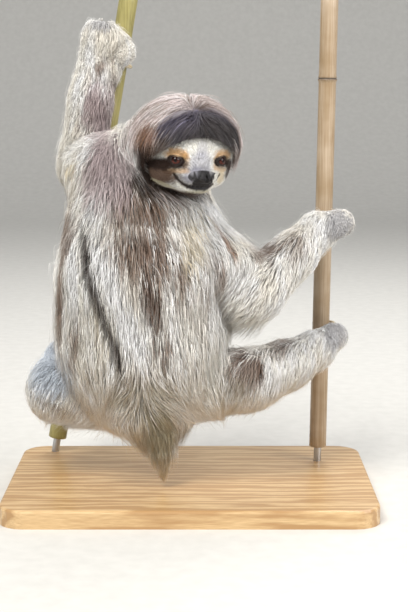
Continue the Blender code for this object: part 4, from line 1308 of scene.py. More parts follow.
    def patch(self, x: Array, z: Array, mark: Mark, jag: Array) -> Array:
        """Strength of a mark at places in the viewer's plane.

        Args:
            x: places across.
            z: places up.
            mark: the patch.
            jag: raggedness of its edge.

        Returns:
            One value a place.
        """
        turn = math.radians(mark.turn)
        across = (x - mark.x) * math.cos(turn) + (z - mark.z) * math.sin(turn)
        up = (z - mark.z) * math.cos(turn) - (x - mark.x) * math.sin(turn)
        size = np.sqrt((across / mark.wide) ** 2 + (up / mark.high) ** 2) + jag
        return mark.strength * (1 - smooth(0.6, 1.2, size))

    def mixed(self, colour: Array, tone: str, share: Array) -> Array:
        """Colour moved towards a tone."""
        return colour * (1 - share[:, None]) + self.tones[tone] * share[:, None]

    def body(self, points: Array, pick: Array) -> Array:
        """Colour of the body's coat.

        Args:
            points: rows in the model's frame.
            pick: a draw from 0 to 1 for each hair.

        Returns:
            One linear colour a row.
        """
        x, y, z = points.T
        streak = value_noise(points / self.streak_cell, 3)
        fine = value_noise(points / self.fine_cell, 5)
        broad = value_noise(points / self.broad_cell, 7)
        colour = np.tile(self.tones["cream"], (len(points), 1))
        colour = self.mixed(colour, "white", smooth(0.35, 0.75, streak) * 0.7)
        colour = self.mixed(colour, "straw", smooth(0.45, 0.8, broad) * 0.22)
        dark = 0.13 + 0.25 * (broad - 0.5)
        shares = {}
        jag = 0.3 * (fine - 0.5) + 0.3 * (streak - 0.5)
        limb = np.maximum(smooth(42, 56, x), np.maximum(smooth(352, 368, z), smooth(-112, -122, x)))
        behind = np.maximum(smooth(10, -12, y), limb)
        jag = jag + 0.3 * (pick - 0.5)
        for mark in self.body_marks:
            shares.setdefault(mark.tone, []).append(self.patch(x, z, mark, jag) * behind)
        lighter = sum(shares.pop("lighter", [0.0]))
        darker = sum(shares.pop("darker", [0.0]))
        level = np.clip(dark + darker - lighter, 0, 1)
        taupe = smooth(0.08, -0.08, 0.6 * streak + 0.4 * pick - level)
        colour = self.mixed(colour, "taupe", taupe * 0.85)
        colour = self.mixed(colour, "brown", smooth(0.55, 1.0, level) * taupe * 0.75)
        grain = 0.55 * streak + 0.45 * fine
        for tone, found in shares.items():
            whole = np.clip(sum(found), 0, 1)
            broken = smooth(-0.1, 0.1, whole * 1.1 - 0.5 * (grain + 0.5 * pick) - 0.05)
            colour = self.mixed(colour, tone, whole * 0.3 + broken * 0.7 * np.minimum(1, whole * 2))
        flat = np.stack([x, z], axis=1)
        away = polyline(flat, np.array(self.stripe, float))
        width = self.stripe_half * (0.5 + 0.5 * smooth(288, 256, z) * smooth(138, 165, z))
        line = 1 - smooth(0.7, 1.2, away / width + 0.5 * (fine - 0.5) + 0.3 * (pick - 0.5))
        return self.mixed(colour, "stripe", line * behind * 0.95)

    def head(self, place: Array, pick: Array, hood: bool) -> Array:
        """Colour of the head's coat.

        Args:
            place: rows in the head's frame.
            pick: a draw from 0 to 1 for each hair.
            hood: whether it is the long hair round the face.

        Returns:
            One linear colour a row.
        """
        x, y, z = place.T
        fine = value_noise(place / (2.0, 2.0, 5.0), 11)
        streak = value_noise(place / (3.5, 9, 9), 13)
        colour = np.tile(self.tones["crown"], (len(place), 1))
        colour = self.mixed(colour, "taupe", smooth(0.4, 0.7, 0.6 * streak + 0.4 * fine) * 0.8)
        colour = self.mixed(colour, "brown", smooth(0.25, 0.05, pick) * 0.6)
        colour = self.mixed(colour, "white", smooth(0.6, 0.85, pick) * 0.5)
        jag = 0.22 * (fine - 0.5) + 0.24 * (pick - 0.5)
        front = smooth(-6, 6, y)
        for mark in self.hood_marks:
            colour = self.mixed(colour, mark.tone, np.clip(self.patch(x, z, mark, 1.5 * jag) * front, 0, 1))
        top = np.interp(x, *self.face_top) + 7 * jag
        high = np.interp(x, *self.band_top) + 16 * jag
        jaw = np.interp(x, *self.jaw_edge) + 5 * jag
        ahead = smooth(2, 8, y) * smooth(45, 42, np.abs(x))
        # The brow band fades from purple grey on the viewer's left to black at its lower edge and right
        low = np.interp(x, *self.band_low) + 9 * jag
        depth = np.clip((high - z) / np.maximum(high - low, 4) + 0.012 * x, 0, 1)
        black = smooth(0.2, 0.9, depth)[:, None]
        band = self.tones["brow"] * (1 - black) + self.tones["black"] * black
        band = band * (0.7 + 0.6 * pick + 1.6 * smooth(0.86, 1.0, pick))[:, None]
        foot = smooth(-1.5, 1.5, z - low)
        if hood:
            foot = np.maximum(foot, smooth(-35, -29, x) * smooth(38, 34, x) * smooth(-16, -10, z - low))
        share = (foot * smooth(-4, 4, high - z) * ahead * (0.85 + 0.15 * fine))[:, None]
        colour = colour * (1 - share) + band * share
        # Hair under the jaw is in its shade
        share = smooth(1.5, -1.5, z - jaw) * smooth(-9, -6, z - jaw) * ahead * smooth(30, 18, x)
        colour = self.mixed(colour, "throat", 0.9 * share)
        face = smooth(1.2, -1.2, z - top) * smooth(-1.2, 1.2, z - jaw) * ahead * (0 if hood else 1)
        inner = np.tile(self.tones["pale"], (len(place), 1))
        inner = self.mixed(inner, "white", 0.6 * smooth(0.3, 0.9, pick))
        for mark in self.face_marks:
            inner = self.mixed(inner, mark.tone, np.clip(self.patch(x, z, mark, jag), 0, 1))
        return colour * (1 - face[:, None]) + inner * face[:, None]

    def at(self, points: Array, pick: Array, hood: bool = False) -> Array:
        """Colour of the coat in the model's frame.

        Args:
            points: rows in the model's frame.
            pick: a draw from 0 to 1 for each hair.
            hood: whether it is the long hair round the face.

        Returns:
            One linear colour a row.
        """
        colour = self.body(points, pick)
        share = self.lie.on_head(points)
        part = share > 0
        if part.any():
            found = self.head(self.shape.head.local(points[part]), pick[part], hood)
            colour[part] = colour[part] * (1 - share[part])[:, None] + found * share[part][:, None]
        return colour


# Meshes


def mesh_of(name: str, verts: Array, loops: Array, sizes: Array) -> bpy.types.Mesh:
    """A mesh from arrays.

    Args:
        name: the mesh's name.
        verts: rows in millimetres.
        loops: vertex indices, face after face.
        sizes: corners of each face.

    Returns:
        The new mesh.
    """
    mesh = bpy.data.meshes.new(name)
    mesh.vertices.add(len(verts))
    mesh.vertices.foreach_set("co", (verts * MM).astype(np.float32).ravel())
    mesh.loops.add(len(loops))
    mesh.loops.foreach_set("vertex_index", loops.astype(np.int32))
    mesh.polygons.add(len(sizes))
    starts = np.concatenate([[0], np.cumsum(sizes)[:-1]]).astype(np.int32)
    mesh.polygons.foreach_set("loop_start", starts)
    mesh.polygons.foreach_set("use_smooth", np.ones(len(sizes), bool))
    mesh.update(calc_edges=True)
    return mesh


def colour_points(mesh: bpy.types.Mesh, name: str, colours: Array) -> None:
    """Stores a colour a vertex.

    Args:
        mesh: the mesh.
        name: the attribute's name.
        colours: one linear colour a vertex.
    """
    layer = mesh.attributes.new(name, "FLOAT_COLOR", "POINT")
    full = np.ones((len(colours), 4), np.float32)
    full[:, :3] = np.clip(colours, 0, 1)
    layer.data.foreach_set("color", full.ravel())


def value_points(mesh: bpy.types.Mesh, name: str, values: Array) -> None:
    """Stores a number a vertex."""
    layer = mesh.attributes.new(name, "FLOAT", "POINT")
    layer.data.foreach_set("value", values.astype(np.float32))


def add_object(name: str, mesh: bpy.types.Mesh, finish: bpy.types.Material) -> bpy.types.Object:
    """A piece of the model with its material.

    Args:
        name: its name.
        mesh: its mesh.
        finish: its material.

    Returns:
        The new object.
    """
    mesh.materials.clear()
    mesh.materials.append(finish)
    obj = bpy.data.objects.new(name, mesh)
    bpy.context.scene.collection.objects.link(obj)
    return obj


def add_piece(name: str, mesh: bpy.types.Mesh, finish: bpy.types.Material) -> bpy.types.Object:
    """A piece that rides on the model's body, with the material it is given.

    Args:
        name: its name.
        mesh: its mesh.
        finish: its material.

    Returns:
        The new object.
    """
    obj = add_object(name, mesh, finish)
    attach(obj, ROOT)
    LOG.info("%s has %d faces", name, len(mesh.polygons))
    return obj


def frame_along(direction: Vector, origin: Vector) -> Matrix:
    """Matrix whose Z axis runs along a direction."""
    return Matrix.Translation(origin) @ direction.to_track_quat("Z", "Y").to_matrix().to_4x4()


@dataclass
class SkinMesh:
    """One closed skin over the whole animal."""

    shape: Shape
    lie: Lie
    markings: Markings
    voxel: float = 2.7
    soften_factor: float = 0.5
    soften_steps: int = 6
    fit_steps: int = 3
    face_cuts: int = 2
    # Bare skin is near black on nose and lips and dark brown round the eyes
    nose_tone: str = "1f1d1f"
    rim_tone: str = "22150f"
    # Skin under deep coat is in its shade
    shade: float = 0.32

    def raw(self) -> bpy.types.Mesh:
        """Balls and tapered tubes along the bones, with the forms of the head.

        Returns:
            A mesh in metres.
        """
        bm = bmesh.new()
        shape = self.shape
        for name, place in shape.places.items():
            self.add_ball(bm, place, (shape.radii[name],) * 3, Matrix())
        for first, second, _ in BONES:
            start = Vector(shape.places[first])
            end = Vector(shape.places[second])
            lean = (shape.radii[first] - shape.radii[second]) / (end - start).length
            if abs(lean) >= 0.95:
                continue
            way = (end - start).normalized()
            reach = math.sqrt(1 - lean * lean)
            low = start + way * shape.radii[first] * lean
            high = end + way * shape.radii[second] * lean
            bmesh.ops.create_cone(
                bm, cap_ends=True, segments=32, radius1=shape.radii[first] * reach,
                radius2=shape.radii[second] * reach, depth=(high - low).length,
                matrix=frame_along(way, (low + high) / 2),
            )
        turn = Matrix([tuple(row) for row in shape.head.turn()]).transposed().to_4x4()
        for centre, radii, hair in shape.head.forms:
            place = shape.head.world(np.array([centre], float))[0]
            self.add_ball(bm, place, [radius - hair for radius in radii], turn)
        bm.transform(Matrix.Scale(MM, 4))
        mesh = bpy.data.meshes.new("skin_raw")
        bm.to_mesh(mesh)
        bm.free()
        return mesh

    def add_ball(self, bm: bmesh.types.BMesh, place: Array, radii: tuple, turn: Matrix) -> None:
        """An ellipsoid in millimetres."""
        matrix = Matrix.Translation(Vector(place)) @ turn @ Matrix.Diagonal((*radii, 1))
        bmesh.ops.create_icosphere(bm, subdivisions=4, radius=1, matrix=matrix)

    def build(self) -> tuple[Array, Array, Array]:
        """Joins the forms to one skin, smooths it and fits it to the distance.

        Returns:
            Vertices in millimetres, corner indices and face sizes.
        """
        obj = bpy.data.objects.new("skin_raw", self.raw())
        bpy.context.scene.collection.objects.link(obj)
        remesh = obj.modifiers.new("Skin", "REMESH")
        remesh.mode = "VOXEL"
        remesh.voxel_size = self.voxel * MM
        soften = obj.modifiers.new("Soften", "SMOOTH")
        soften.factor = self.soften_factor
        soften.iterations = self.soften_steps
        graph = bpy.context.evaluated_depsgraph_get()
        mesh = bpy.data.meshes.new_from_object(obj.evaluated_get(graph), depsgraph=graph)
        bpy.data.objects.remove(obj, do_unlink=True)
        bm = bmesh.new()
        bm.from_mesh(mesh)
        bpy.data.meshes.remove(mesh)
        for cut in range(self.face_cuts):
            bm.verts.ensure_lookup_table()
            place = self.shape.head.local(np.array([vert.co for vert in bm.verts]) / MM)
            margin = 3.0 * (self.face_cuts - cut)
            face = (np.abs(place[:, 0]) < 30 + margin) & (place[:, 1] > 20 - margin)
            face &= (place[:, 2] > -38 - margin) & (place[:, 2] < 8 + margin)
            edges = [edge for edge in bm.edges if face[edge.verts[0].index] and face[edge.verts[1].index]]
            bmesh.ops.subdivide_edges(bm, edges=edges, cuts=1, use_grid_fill=True)
        bm.verts.ensure_lookup_table()
        verts = np.array([vert.co for vert in bm.verts]) / MM
        sizes = np.array([len(face.verts) for face in bm.faces])
        loops = np.array([vert.index for face in bm.faces for vert in face.verts])
        bm.free()
        for _ in range(self.fit_steps):
            away, out = self.shape.slope(verts, True)
            verts -= out * np.clip(away, -3, 3)[:, None] * 0.95
        return self.shape.open_eyes(verts), loops, sizes

    def make(self, finish: bpy.types.Material) -> tuple[bpy.types.Object, Array, Array]:
        """The skin's object with its triangles for the coat to root on.

        Args:
            finish: its material.

        Returns:
            The object, its vertices in millimetres and its triangles.
        """
        verts, loops, sizes = self.build()
        mesh = mesh_of("skin", verts, loops, sizes)
        pick = value_noise(verts / 1.3, 17)
        colour = self.markings.at(verts, pick)
        bare = self.shape.bare(verts)
        _, depth, _ = self.lie.at(verts)
        colour *= (1 - self.shade * smooth(3, 16, depth))[:, None]
        ahead = smooth(40, 44, self.shape.head.local(verts)[:, 1])[:, None]
        naked = np.array(linear(self.nose_tone)) * ahead + np.array(linear(self.rim_tone)) * (1 - ahead)
        colour = colour * (1 - bare[:, None]) + naked * bare[:, None]
        colour_points(mesh, "coat", colour)
        value_points(mesh, "bare", bare)
        obj = add_piece("skin", mesh, finish)
        mesh.calc_loop_triangles()
        triangles = np.zeros(len(mesh.loop_triangles) * 3, np.int32)
        mesh.loop_triangles.foreach_get("vertices", triangles)
        return obj, verts, triangles.reshape(-1, 3)


class Kind(Enum):
    """Kinds of tuft."""

    LONG = "long"
    HOOD = "hood"
    SHORT = "short"


@dataclass(frozen=True)
class Style:
    """How one kind of tuft grows; length and width are millimetres and shares of the coat's depth."""

    kind: Kind
    length: tuple[float, float]
    width: tuple[float, float]
    layers: float
    stations: tuple[float, ...]
    rise: float = 0.95
    clump: float = 0.4
    clump_size: float = 6.5
    wave: float = 0.05
    stray: float = 0.05


LONG = Style(Kind.LONG, (12, 1.5), (0.34, 0.0125), 5.7, (0.0, 0.42, 1.0), clump=0.32, clump_size=5.0)
HOOD = Style(Kind.HOOD, (12, 1.5), (0.32, 0.012), 6.2, (0.0, 0.28, 0.64, 1.0), clump=0.45, clump_size=5.0)
SHORT = Style(
    Kind.SHORT, (3.4, 1.3), (0.42, 0.03), 4.2, (0.0, 0.45, 1.0),
    rise=0.8, clump=0.25, clump_size=3.0, stray=0.02,
)


@dataclass
class Coat:
    """Tufts of hair over the skin, as solid meshes."""

    shape: Shape
    lie: Lie
    markings: Markings
    canes: list[tuple[Array, Array, float, float]]
    seed: int
    # Half size of a tuft's own patch of the chart
    patch: float = 0.0015
    # The most triangles in one piece
    most: int = 134400
    # Part of its length times its width that a tuft covers
    covered: float = 0.55
    # Coat less deep than this is made of short tufts
    short_depth: float = 5.0
    # Bounds of a tuft's own length and width, and how far it may turn aside
    lengths: tuple[float, float] = (0.75, 1.2)
    breadths: tuple[float, float] = (0.75, 1.25)
    sway: float = 0.22
    # Width along a tuft: shares of its length and of its breadth
    taper: tuple = ((0, 0.25, 0.6, 1.0), (0.75, 1.0, 0.8, 0.0))
    root_sink: float = 0.6
    eye_room: float = 0.5
    cane_room: float = 1.0
    base_height: float = 24.0
    # How much a tuft's brightness may stray, how much painted shade darkens its root in deep coat and how
    # much lighter its tip is
    uneven: float = 0.3
    root_shade: float = 0.25
    tip_light: float = 0.08

    def __post_init__(self) -> None:
        """Starts the random draws."""
        self.rng = np.random.default_rng(self.seed)

    def roots(self, verts: Array, triangles: Array, style: Style) -> Array:
        """Places on the skin, closer together where the hair is short and fine.

        Args:
            verts: the skin's vertices.
            triangles: the skin's triangles.
            style: the kind of tuft.

        Returns:
            Rows in the model's frame.
        """
        corners = verts[triangles]
        middle = corners.mean(axis=1)
        edges = corners[:, 1:] - corners[:, :1]
        area = np.linalg.norm(np.cross(edges[:, 0], edges[:, 1]), axis=1) / 2
        _, depth, _ = self.lie.at(middle)
        short = depth < self.short_depth
        hood = self.lie.on_head(middle) > 0.5
        wanted = {Kind.SHORT: short, Kind.HOOD: ~short & hood, Kind.LONG: ~short & ~hood}[style.kind]
        length = style.length[0] + style.length[1] * depth
        cover = length * (style.width[0] + style.width[1] * depth) * self.covered
        count = area * style.layers / cover * wanted * (1 - self.shape.bare(middle))
        place = self.shape.head.local(middle)
        for side in Side:
            away = np.linalg.norm(place - self.shape.eye_frame(side)[0], axis=1)
            count *= away > self.shape.head.eye_radius + self.eye_room
        for foot, axis, radius, _ in self.canes:
            away = np.linalg.norm(off_line(middle, foot, axis), axis=1)
            count *= away > radius + self.cane_room
        total = np.cumsum(count)
        marks = np.arange(int(total[-1])) + self.rng.uniform(0, 1, int(total[-1]))
        index = np.minimum(np.searchsorted(total, marks), len(triangles) - 1)
        a = self.rng.uniform(0, 1, (len(index), 1))
        b = self.rng.uniform(0, 1, (len(index), 1))
        flip = a + b > 1
        a = np.where(flip, 1 - a, a)
        b = np.where(flip, 1 - b, b)
        chosen = corners[index]
        return chosen[:, 0] + a * (chosen[:, 1] - chosen[:, 0]) + b * (chosen[:, 2] - chosen[:, 0])

    def along(self, flow: Array, out: Array, lift: float) -> Array:
        """A direction along the skin that may leave it where the coat hangs."""
        inward = dot(flow, out)
        return unit(flow - out * inward * np.where(inward < 0, 1.0, lift))

    def run(self, roots: Array, style: Style) -> tuple[Array, Array, Array, Array]:
        """Lays tufts along the coat from their roots.

        Args:
            roots: places on the skin.
            style: the kind of tuft.

        Returns:
            Centres, outward directions and widths of the stations, and the coat's depth.
        """
        count = len(roots)
        draw = self.rng.uniform
        _, out = self.shape.slope(roots)
        flow, depth, hang = self.lie.at(roots)
        length = (style.length[0] + style.length[1] * depth) * draw(*self.lengths, count)
        breadth = (style.width[0] + style.width[1] * depth) * draw(*self.breadths, count)
        way = self.along(flow, out, 0.6)
        longest = self.lie.longest(roots, way, self.shape.near_bare(roots)) * draw(0.8, 1.3, count)
        kept = np.minimum(length, longest) / length
        length = length * kept
        breadth = breadth * (0.55 + 0.45 * kept)
        rise = depth * style.rise * self.shape.skin_depth * draw(0.35, 1.0, count) ** 0.5 + 0.4
        rise = rise * (0.35 + 0.65 * kept**0.5)
        stray = draw(0, 1, count) < style.stray + 0.25 * smooth(0.3, 0.8, hang)
        rise = np.where(stray, rise * 1.3 + 1.5, rise)
        hang = np.where(stray & (depth > 8), np.maximum(hang, 0.55), hang)
        breadth = np.where(stray, breadth * 0.6, breadth)
        sway = draw(-self.sway, self.sway, count) * np.where(stray, 2.4, 1)
        way = unit(way + np.cross(out, way) * sway[:, None])
        phase = draw(0, math.tau, count)
        spot = roots
        centres = [roots - out * self.root_sink]
        outs = [out]
        last = 0.0
        for share in style.stations[1:]:
            step = (share - last) * length[:, None]
            last = share
            ahead = spot + way * step
            away, out = self.shape.slope(ahead)
            height = rise * min(1.0, share / 0.35) ** 0.6
            held = ahead + out * (height - away)[:, None]
            down = np.clip(0.3 - out[:, 2:3] * 1.2, 0, 1) * hang[:, None] * smooth(3, 10, depth)[:, None]
            free = spot + unit(way + np.array([0, 0, -0.6])) * step
            spot = held * (1 - down) + free * down
            flow, _, _ = self.lie.at(spot)
            swerve = np.cross(out, way) * (sway * 0.15)[:, None]
            way = unit(way * 0.4 + self.along(flow, out, 0.6) * 0.6 + swerve)
            side = np.cross(out, way)
            wave = style.wave * length * share * np.sin(phase + share * 5.5)
            centres.append(spot + side * wave[:, None])
            outs.append(out)
        centres = np.stack(centres, axis=1)
        outs = np.stack(outs, axis=1)
        centres = self.clumped(centres, style)
        centres = self.clear(centres)
        shares = np.array(style.stations)
        taper = np.interp(shares, *self.taper)
        return centres, outs, breadth[:, None] * taper, depth

    def clumped(self, centres: Array, style: Style) -> Array:
        """Draws tufts towards a leader near them, so that their tips form locks.

        Args:
            centres: the stations of each tuft.
            style: the kind of tuft.

        Returns:
            The stations, moved.
        """
        roots = centres[:, 0]
        area = style.clump_size**2
        every = 6 if style.kind is Kind.SHORT else max(2, int(area / 6.0))
        leaders = np.arange(0, len(roots), every)
        tree = KDTree(len(leaders))
        for k, leader in enumerate(leaders):
            tree.insert(roots[leader], k)
        tree.balance()
        chosen = np.array([leaders[tree.find(root)[1]] for root in roots])
        pull = style.clump * np.array(style.stations) ** 1.4
        return centres + (centres[chosen] - centres) * pull[None, :, None]

    def clear(self, centres: Array) -> Array:
        """Keeps tufts out of the canes and off the base.

        Args:
            centres: the stations of each tuft.

        Returns:
            The stations, moved.
        """
        moved = centres.reshape(-1, 3).copy()
        for foot, axis, radius, _ in self.canes:
            radial = off_line(moved, foot, axis)
            away = np.linalg.norm(radial, axis=1)
            short = np.clip(radius + self.cane_room - away, 0, None)
            moved += radial / np.maximum(away, 1e-6)[:, None] * short[:, None]
        moved[:, 2] = np.maximum(moved[:, 2], self.base_height + 0.15 * (moved[:, 2] - self.base_height))
        return moved.reshape(centres.shape)

    def colours(self, centres: Array, depth: Array, style: Style) -> Array:
        """Colour at each station of each tuft.

        Args:
            centres: the stations of each tuft.
            depth: the coat's depth at each root.
            style: the kind of tuft.

        Returns:
            One linear colour a station.
        """
        count, stations, _ = centres.shape
        pick = self.rng.uniform(0, 1, count)
        hood = style.kind is Kind.HOOD
        tones = [self.markings.at(centres[:, k], pick, hood) for k in range(1, stations)]
        # Hair of the head keeps one tone from root to tip, that of the place near its tip
        held = self.lie.on_head(centres[:, 0])[:, None]
        share = 0.3 if style.kind is Kind.SHORT else 0.6
        near_tip = self.markings.at(centres[:, -1] * share + centres[:, 1] * (1 - share), pick, hood)
        tones = [found * (1 - held) + near_tip * held for found in tones]
        tone = np.stack([tones[0], *tones], axis=1)
        tone *= (1 + self.uneven * (self.rng.uniform(0, 1, count) - 0.5))[:, None, None]
        shares = np.linspace(0, 1, stations)
        # Painted shade darkens the roots in deep coat; the tips are a little lighter
        deep = smooth(3, 14, depth)[:, None]
        light = 1 - deep * self.root_shade * (1 - smooth(0.0, 0.5, shares))[None, :]
        light = light * (1 + self.tip_light * shares[None, :])
        return tone * light[:, :, None]

    def chart(self, roots: Array) -> Array:
        """Places of the roots on an unwrap of the skin round its nearest bone, from 0 to 1.

        Args:
            roots: places on the skin.

        Returns:
            Two values a root.
        """
        rows = self.shape.bone_distances(roots)
        place = self.shape.head.local(roots)
        rows = np.vstack([rows, self.shape.head_forms(place)[None]])
        nearest = rows.argmin(axis=0)
        used = np.unique(nearest)
        found = np.zeros((len(roots), 2))
        for row, bone in enumerate(used):
            here = nearest == bone
            if bone == len(BONES):
                local = place[here]
                turn = np.arctan2(local[:, 0], -local[:, 1])
                along = np.clip((local[:, 2] + 46) / 92, 0, 1)
            else:
                start = self.shape.places[BONES[bone][0]]
                axis = self.shape.places[BONES[bone][1]] - start
                offset = roots[here] - start
                along = np.clip(offset @ axis / (axis @ axis) * 0.6 + 0.2, 0, 1)
                side = unit(np.cross(axis, (0.31, 0.87, 0.11)))
                other = unit(np.cross(axis, side))
                turn = np.arctan2(offset @ side, offset @ other)
            found[here, 0] = 0.01 + 0.98 * (turn / math.tau + 0.5)
            found[here, 1] = (row + 0.02 + 0.96 * along) / len(used)
        return found

    def mesh(self, name: str, centres: Array, outs: Array, widths: Array, colours: Array) -> bpy.types.Mesh:
        """Three-sided tapered solids through the stations.

        Args:
            name: its name.
            centres: the stations of each tuft.
            outs: outward directions.
            widths: one a station.
            colours: one a station.

        Returns:
            The new mesh.
        """
        count, stations, _ = centres.shape
        rings = stations - 1
        ahead = np.roll(centres, -1, axis=1)
        ahead[:, -1] = centres[:, -1]
        behind = np.roll(centres, 1, axis=1)
        behind[:, 0] = centres[:, 0]
        way = unit(ahead - behind)
        side = unit(np.cross(way, outs))
        lift = np.cross(side, way)
        tilt = self.rng.uniform(-0.5, 0.5, (count, 1, 1))
        flat = side * np.cos(tilt) + lift * np.sin(tilt)
        crest = lift * np.cos(tilt) - side * np.sin(tilt)
        half = (widths * 0.5)[:, :, None]
        corners = [centres + flat * half, centres + crest * half * 0.7, centres - flat * half]
        ring = np.stack(corners, axis=2)[:, :rings]
        verts = np.concatenate([ring.reshape(count, rings * 3, 3), centres[:, -1:]], axis=1)
        each = rings * 3 + 1
        faces = []
        for k in range(rings - 1):
            for j in range(3):
                n = (j + 1) % 3
                a, b, c, d = 3 * k + j, 3 * k + n, 3 * k + 3 + j, 3 * k + 3 + n
                faces += [(a, c, d), (a, d, b)]
        top = 3 * (rings - 1)
        faces += [(top + j, each - 1, top + (j + 1) % 3) for j in range(3)]
        faces.append((0, 1, 2))
        faces = np.array(faces)
        loops = (faces[None] + (np.arange(count) * each)[:, None, None]).ravel()
        mesh = mesh_of(name, verts.reshape(-1, 3), loops, np.full(count * len(faces), 3))
        tone = np.concatenate([np.repeat(colours[:, :rings], 3, axis=1), colours[:, -1:]], axis=1)
        colour_points(mesh, "coat", tone.reshape(-1, 3))
        across = np.tile([1.0, 0.0, -1.0], rings)
        along = np.repeat(np.linspace(-1, 1, stations)[:rings], 3)
        local = np.stack([np.append(across, 0.0), np.append(along, 1.0)], axis=1) * self.patch
        place = self.chart(centres[:, 0])[:, None] + local[None]
        layer = mesh.uv_layers.new(name="OFBake")
        layer.data.foreach_set("uv", place.reshape(-1, 2)[loops].astype(np.float32).ravel())
        return mesh

    def regions(self, roots: Array) -> Array:
        """Region number of each root.

        Args:
            roots: places on the skin.

        Returns:
            One number a root.
        """
        rows = self.shape.bone_distances(roots)
        head = self.shape.head_forms(self.shape.head.local(roots))
        nearest = rows.argmin(axis=0)
        order = list(Region)
        table = np.array([order.index(bone[2]) for bone in BONES])
        return np.where(head < rows.min(axis=0), order.index(Region.HEAD), table[nearest])

    def make(self, verts: Array, triangles: Array, finish: bpy.types.Material) -> list[bpy.types.Object]:
        """All pieces of the coat.

        Args:
            verts: the skin's vertices.
            triangles: the skin's triangles.
            finish: its material.

        Returns:
            The pieces.
        """
        made = []
        for style in (LONG, HOOD, SHORT):
            roots = self.roots(verts, triangles, style)
            centres, outs, widths, depth = self.run(roots, style)
            colours = self.colours(centres, depth, style)
            numbers = self.regions(roots)
            LOG.info("%d %s tufts", len(roots), style.kind.value)
            for number, region in enumerate(Region):
                members = np.flatnonzero(numbers == number)
                if not len(members):
                    continue
                members = members[np.argsort(roots[members, 2])]
                # A tuft has six triangles between two stations, three at its tip and one at its root
                most = self.most // (6 * len(style.stations) - 8)
                for part, chosen in enumerate(np.array_split(members, -(-len(members) // most))):
                    name = f"coat_{region.value}_{style.kind.value}_{part + 1}"
                    mesh = self.mesh(name, centres[chosen], outs[chosen], widths[chosen], colours[chosen])
                    made.append(add_piece(name, mesh, finish))
        return made


# Eyes, claws, canes and stand


@dataclass(frozen=True)
class EyeBall:
    """An eye with its cornea, in millimetres."""

    radius: float = 5.4
    cornea: float = 0.35
    iris_angle: float = 46.0
    pupil_angle: float = 13.0
    rings: int = 40
    around: int = 48
    iris: str = "431a10"
    pupil: str = "080505"
    rim: str = "180d09"

    def make(self, name: str, centre: Array, look: Array, finish: bpy.types.Material) -> bpy.types.Object:
        """Builds one eye.

        Args:
            name: its name.
            centre: its centre in millimetres.
            look: the way it faces.
            finish: its material.

        Returns:
            The new object.
        """
        rings = self.rings
        around = self.around
        axis = Vector(look).normalized()
        place = frame_along(axis, Vector(centre))
        verts = [place @ Vector((0, 0, self.radius + self.cornea))]
        angles = [0.0]
        for k in range(1, rings):
            angle = math.pi * k / rings
            size = self.radius + self.cornea * max(0.0, math.cos(angle * 1.9)) * (angle < 0.85)
            for j in range(around):
                turn = math.tau * j / around
                flat = math.sin(angle)
                out = Vector((flat * math.cos(turn), flat * math.sin(turn), math.cos(angle)))
                verts.append(place @ (out * size))
                angles.append(angle)
        verts.append(place @ Vector((0, 0, -self.radius)))
        angles.append(math.pi)
        loops = []
        sizes = []
        for j in range(around):
            n = (j + 1) % around
            loops += [0, 1 + j, 1 + n]
            sizes.append(3)
            for k in range(rings - 2):
                a = 1 + k * around
                loops += [a + j, a + around + j, a + around + n, a + n]
                sizes.append(4)
            a = 1 + (rings - 2) * around
            loops += [a + j, len(verts) - 1, a + n]
            sizes.append(3)
        places = np.array([tuple(v) for v in verts])
        mesh = mesh_of(name, places, np.array(loops), np.array(sizes))
        degrees = np.degrees(np.array(angles))
        streak = value_noise(places * 1.4, 23)
        # Painted shade of the lid darkens the upper half and painted light brightens the lower half
        rise = (places[:, 2] - centre[2]) / self.radius
        painted_shade_and_glow = 0.25 + 1.25 * smooth(0.25, -0.35, rise)
        colour = np.array(linear(self.iris))[None] * ((0.55 + 0.6 * streak) * painted_shade_and_glow)[:, None]
        pupil = 1 - smooth(self.pupil_angle - 5, self.pupil_angle + 8, degrees)
        white = smooth(self.iris_angle - 6, self.iris_angle + 4, degrees)
        colour = colour * (1 - pupil[:, None]) + np.array(linear(self.pupil)) * pupil[:, None]
        colour = colour * (1 - white[:, None]) + np.array(linear(self.rim)) * white[:, None]
        colour_points(mesh, "coat", colour)
        return add_piece(name, mesh, finish)


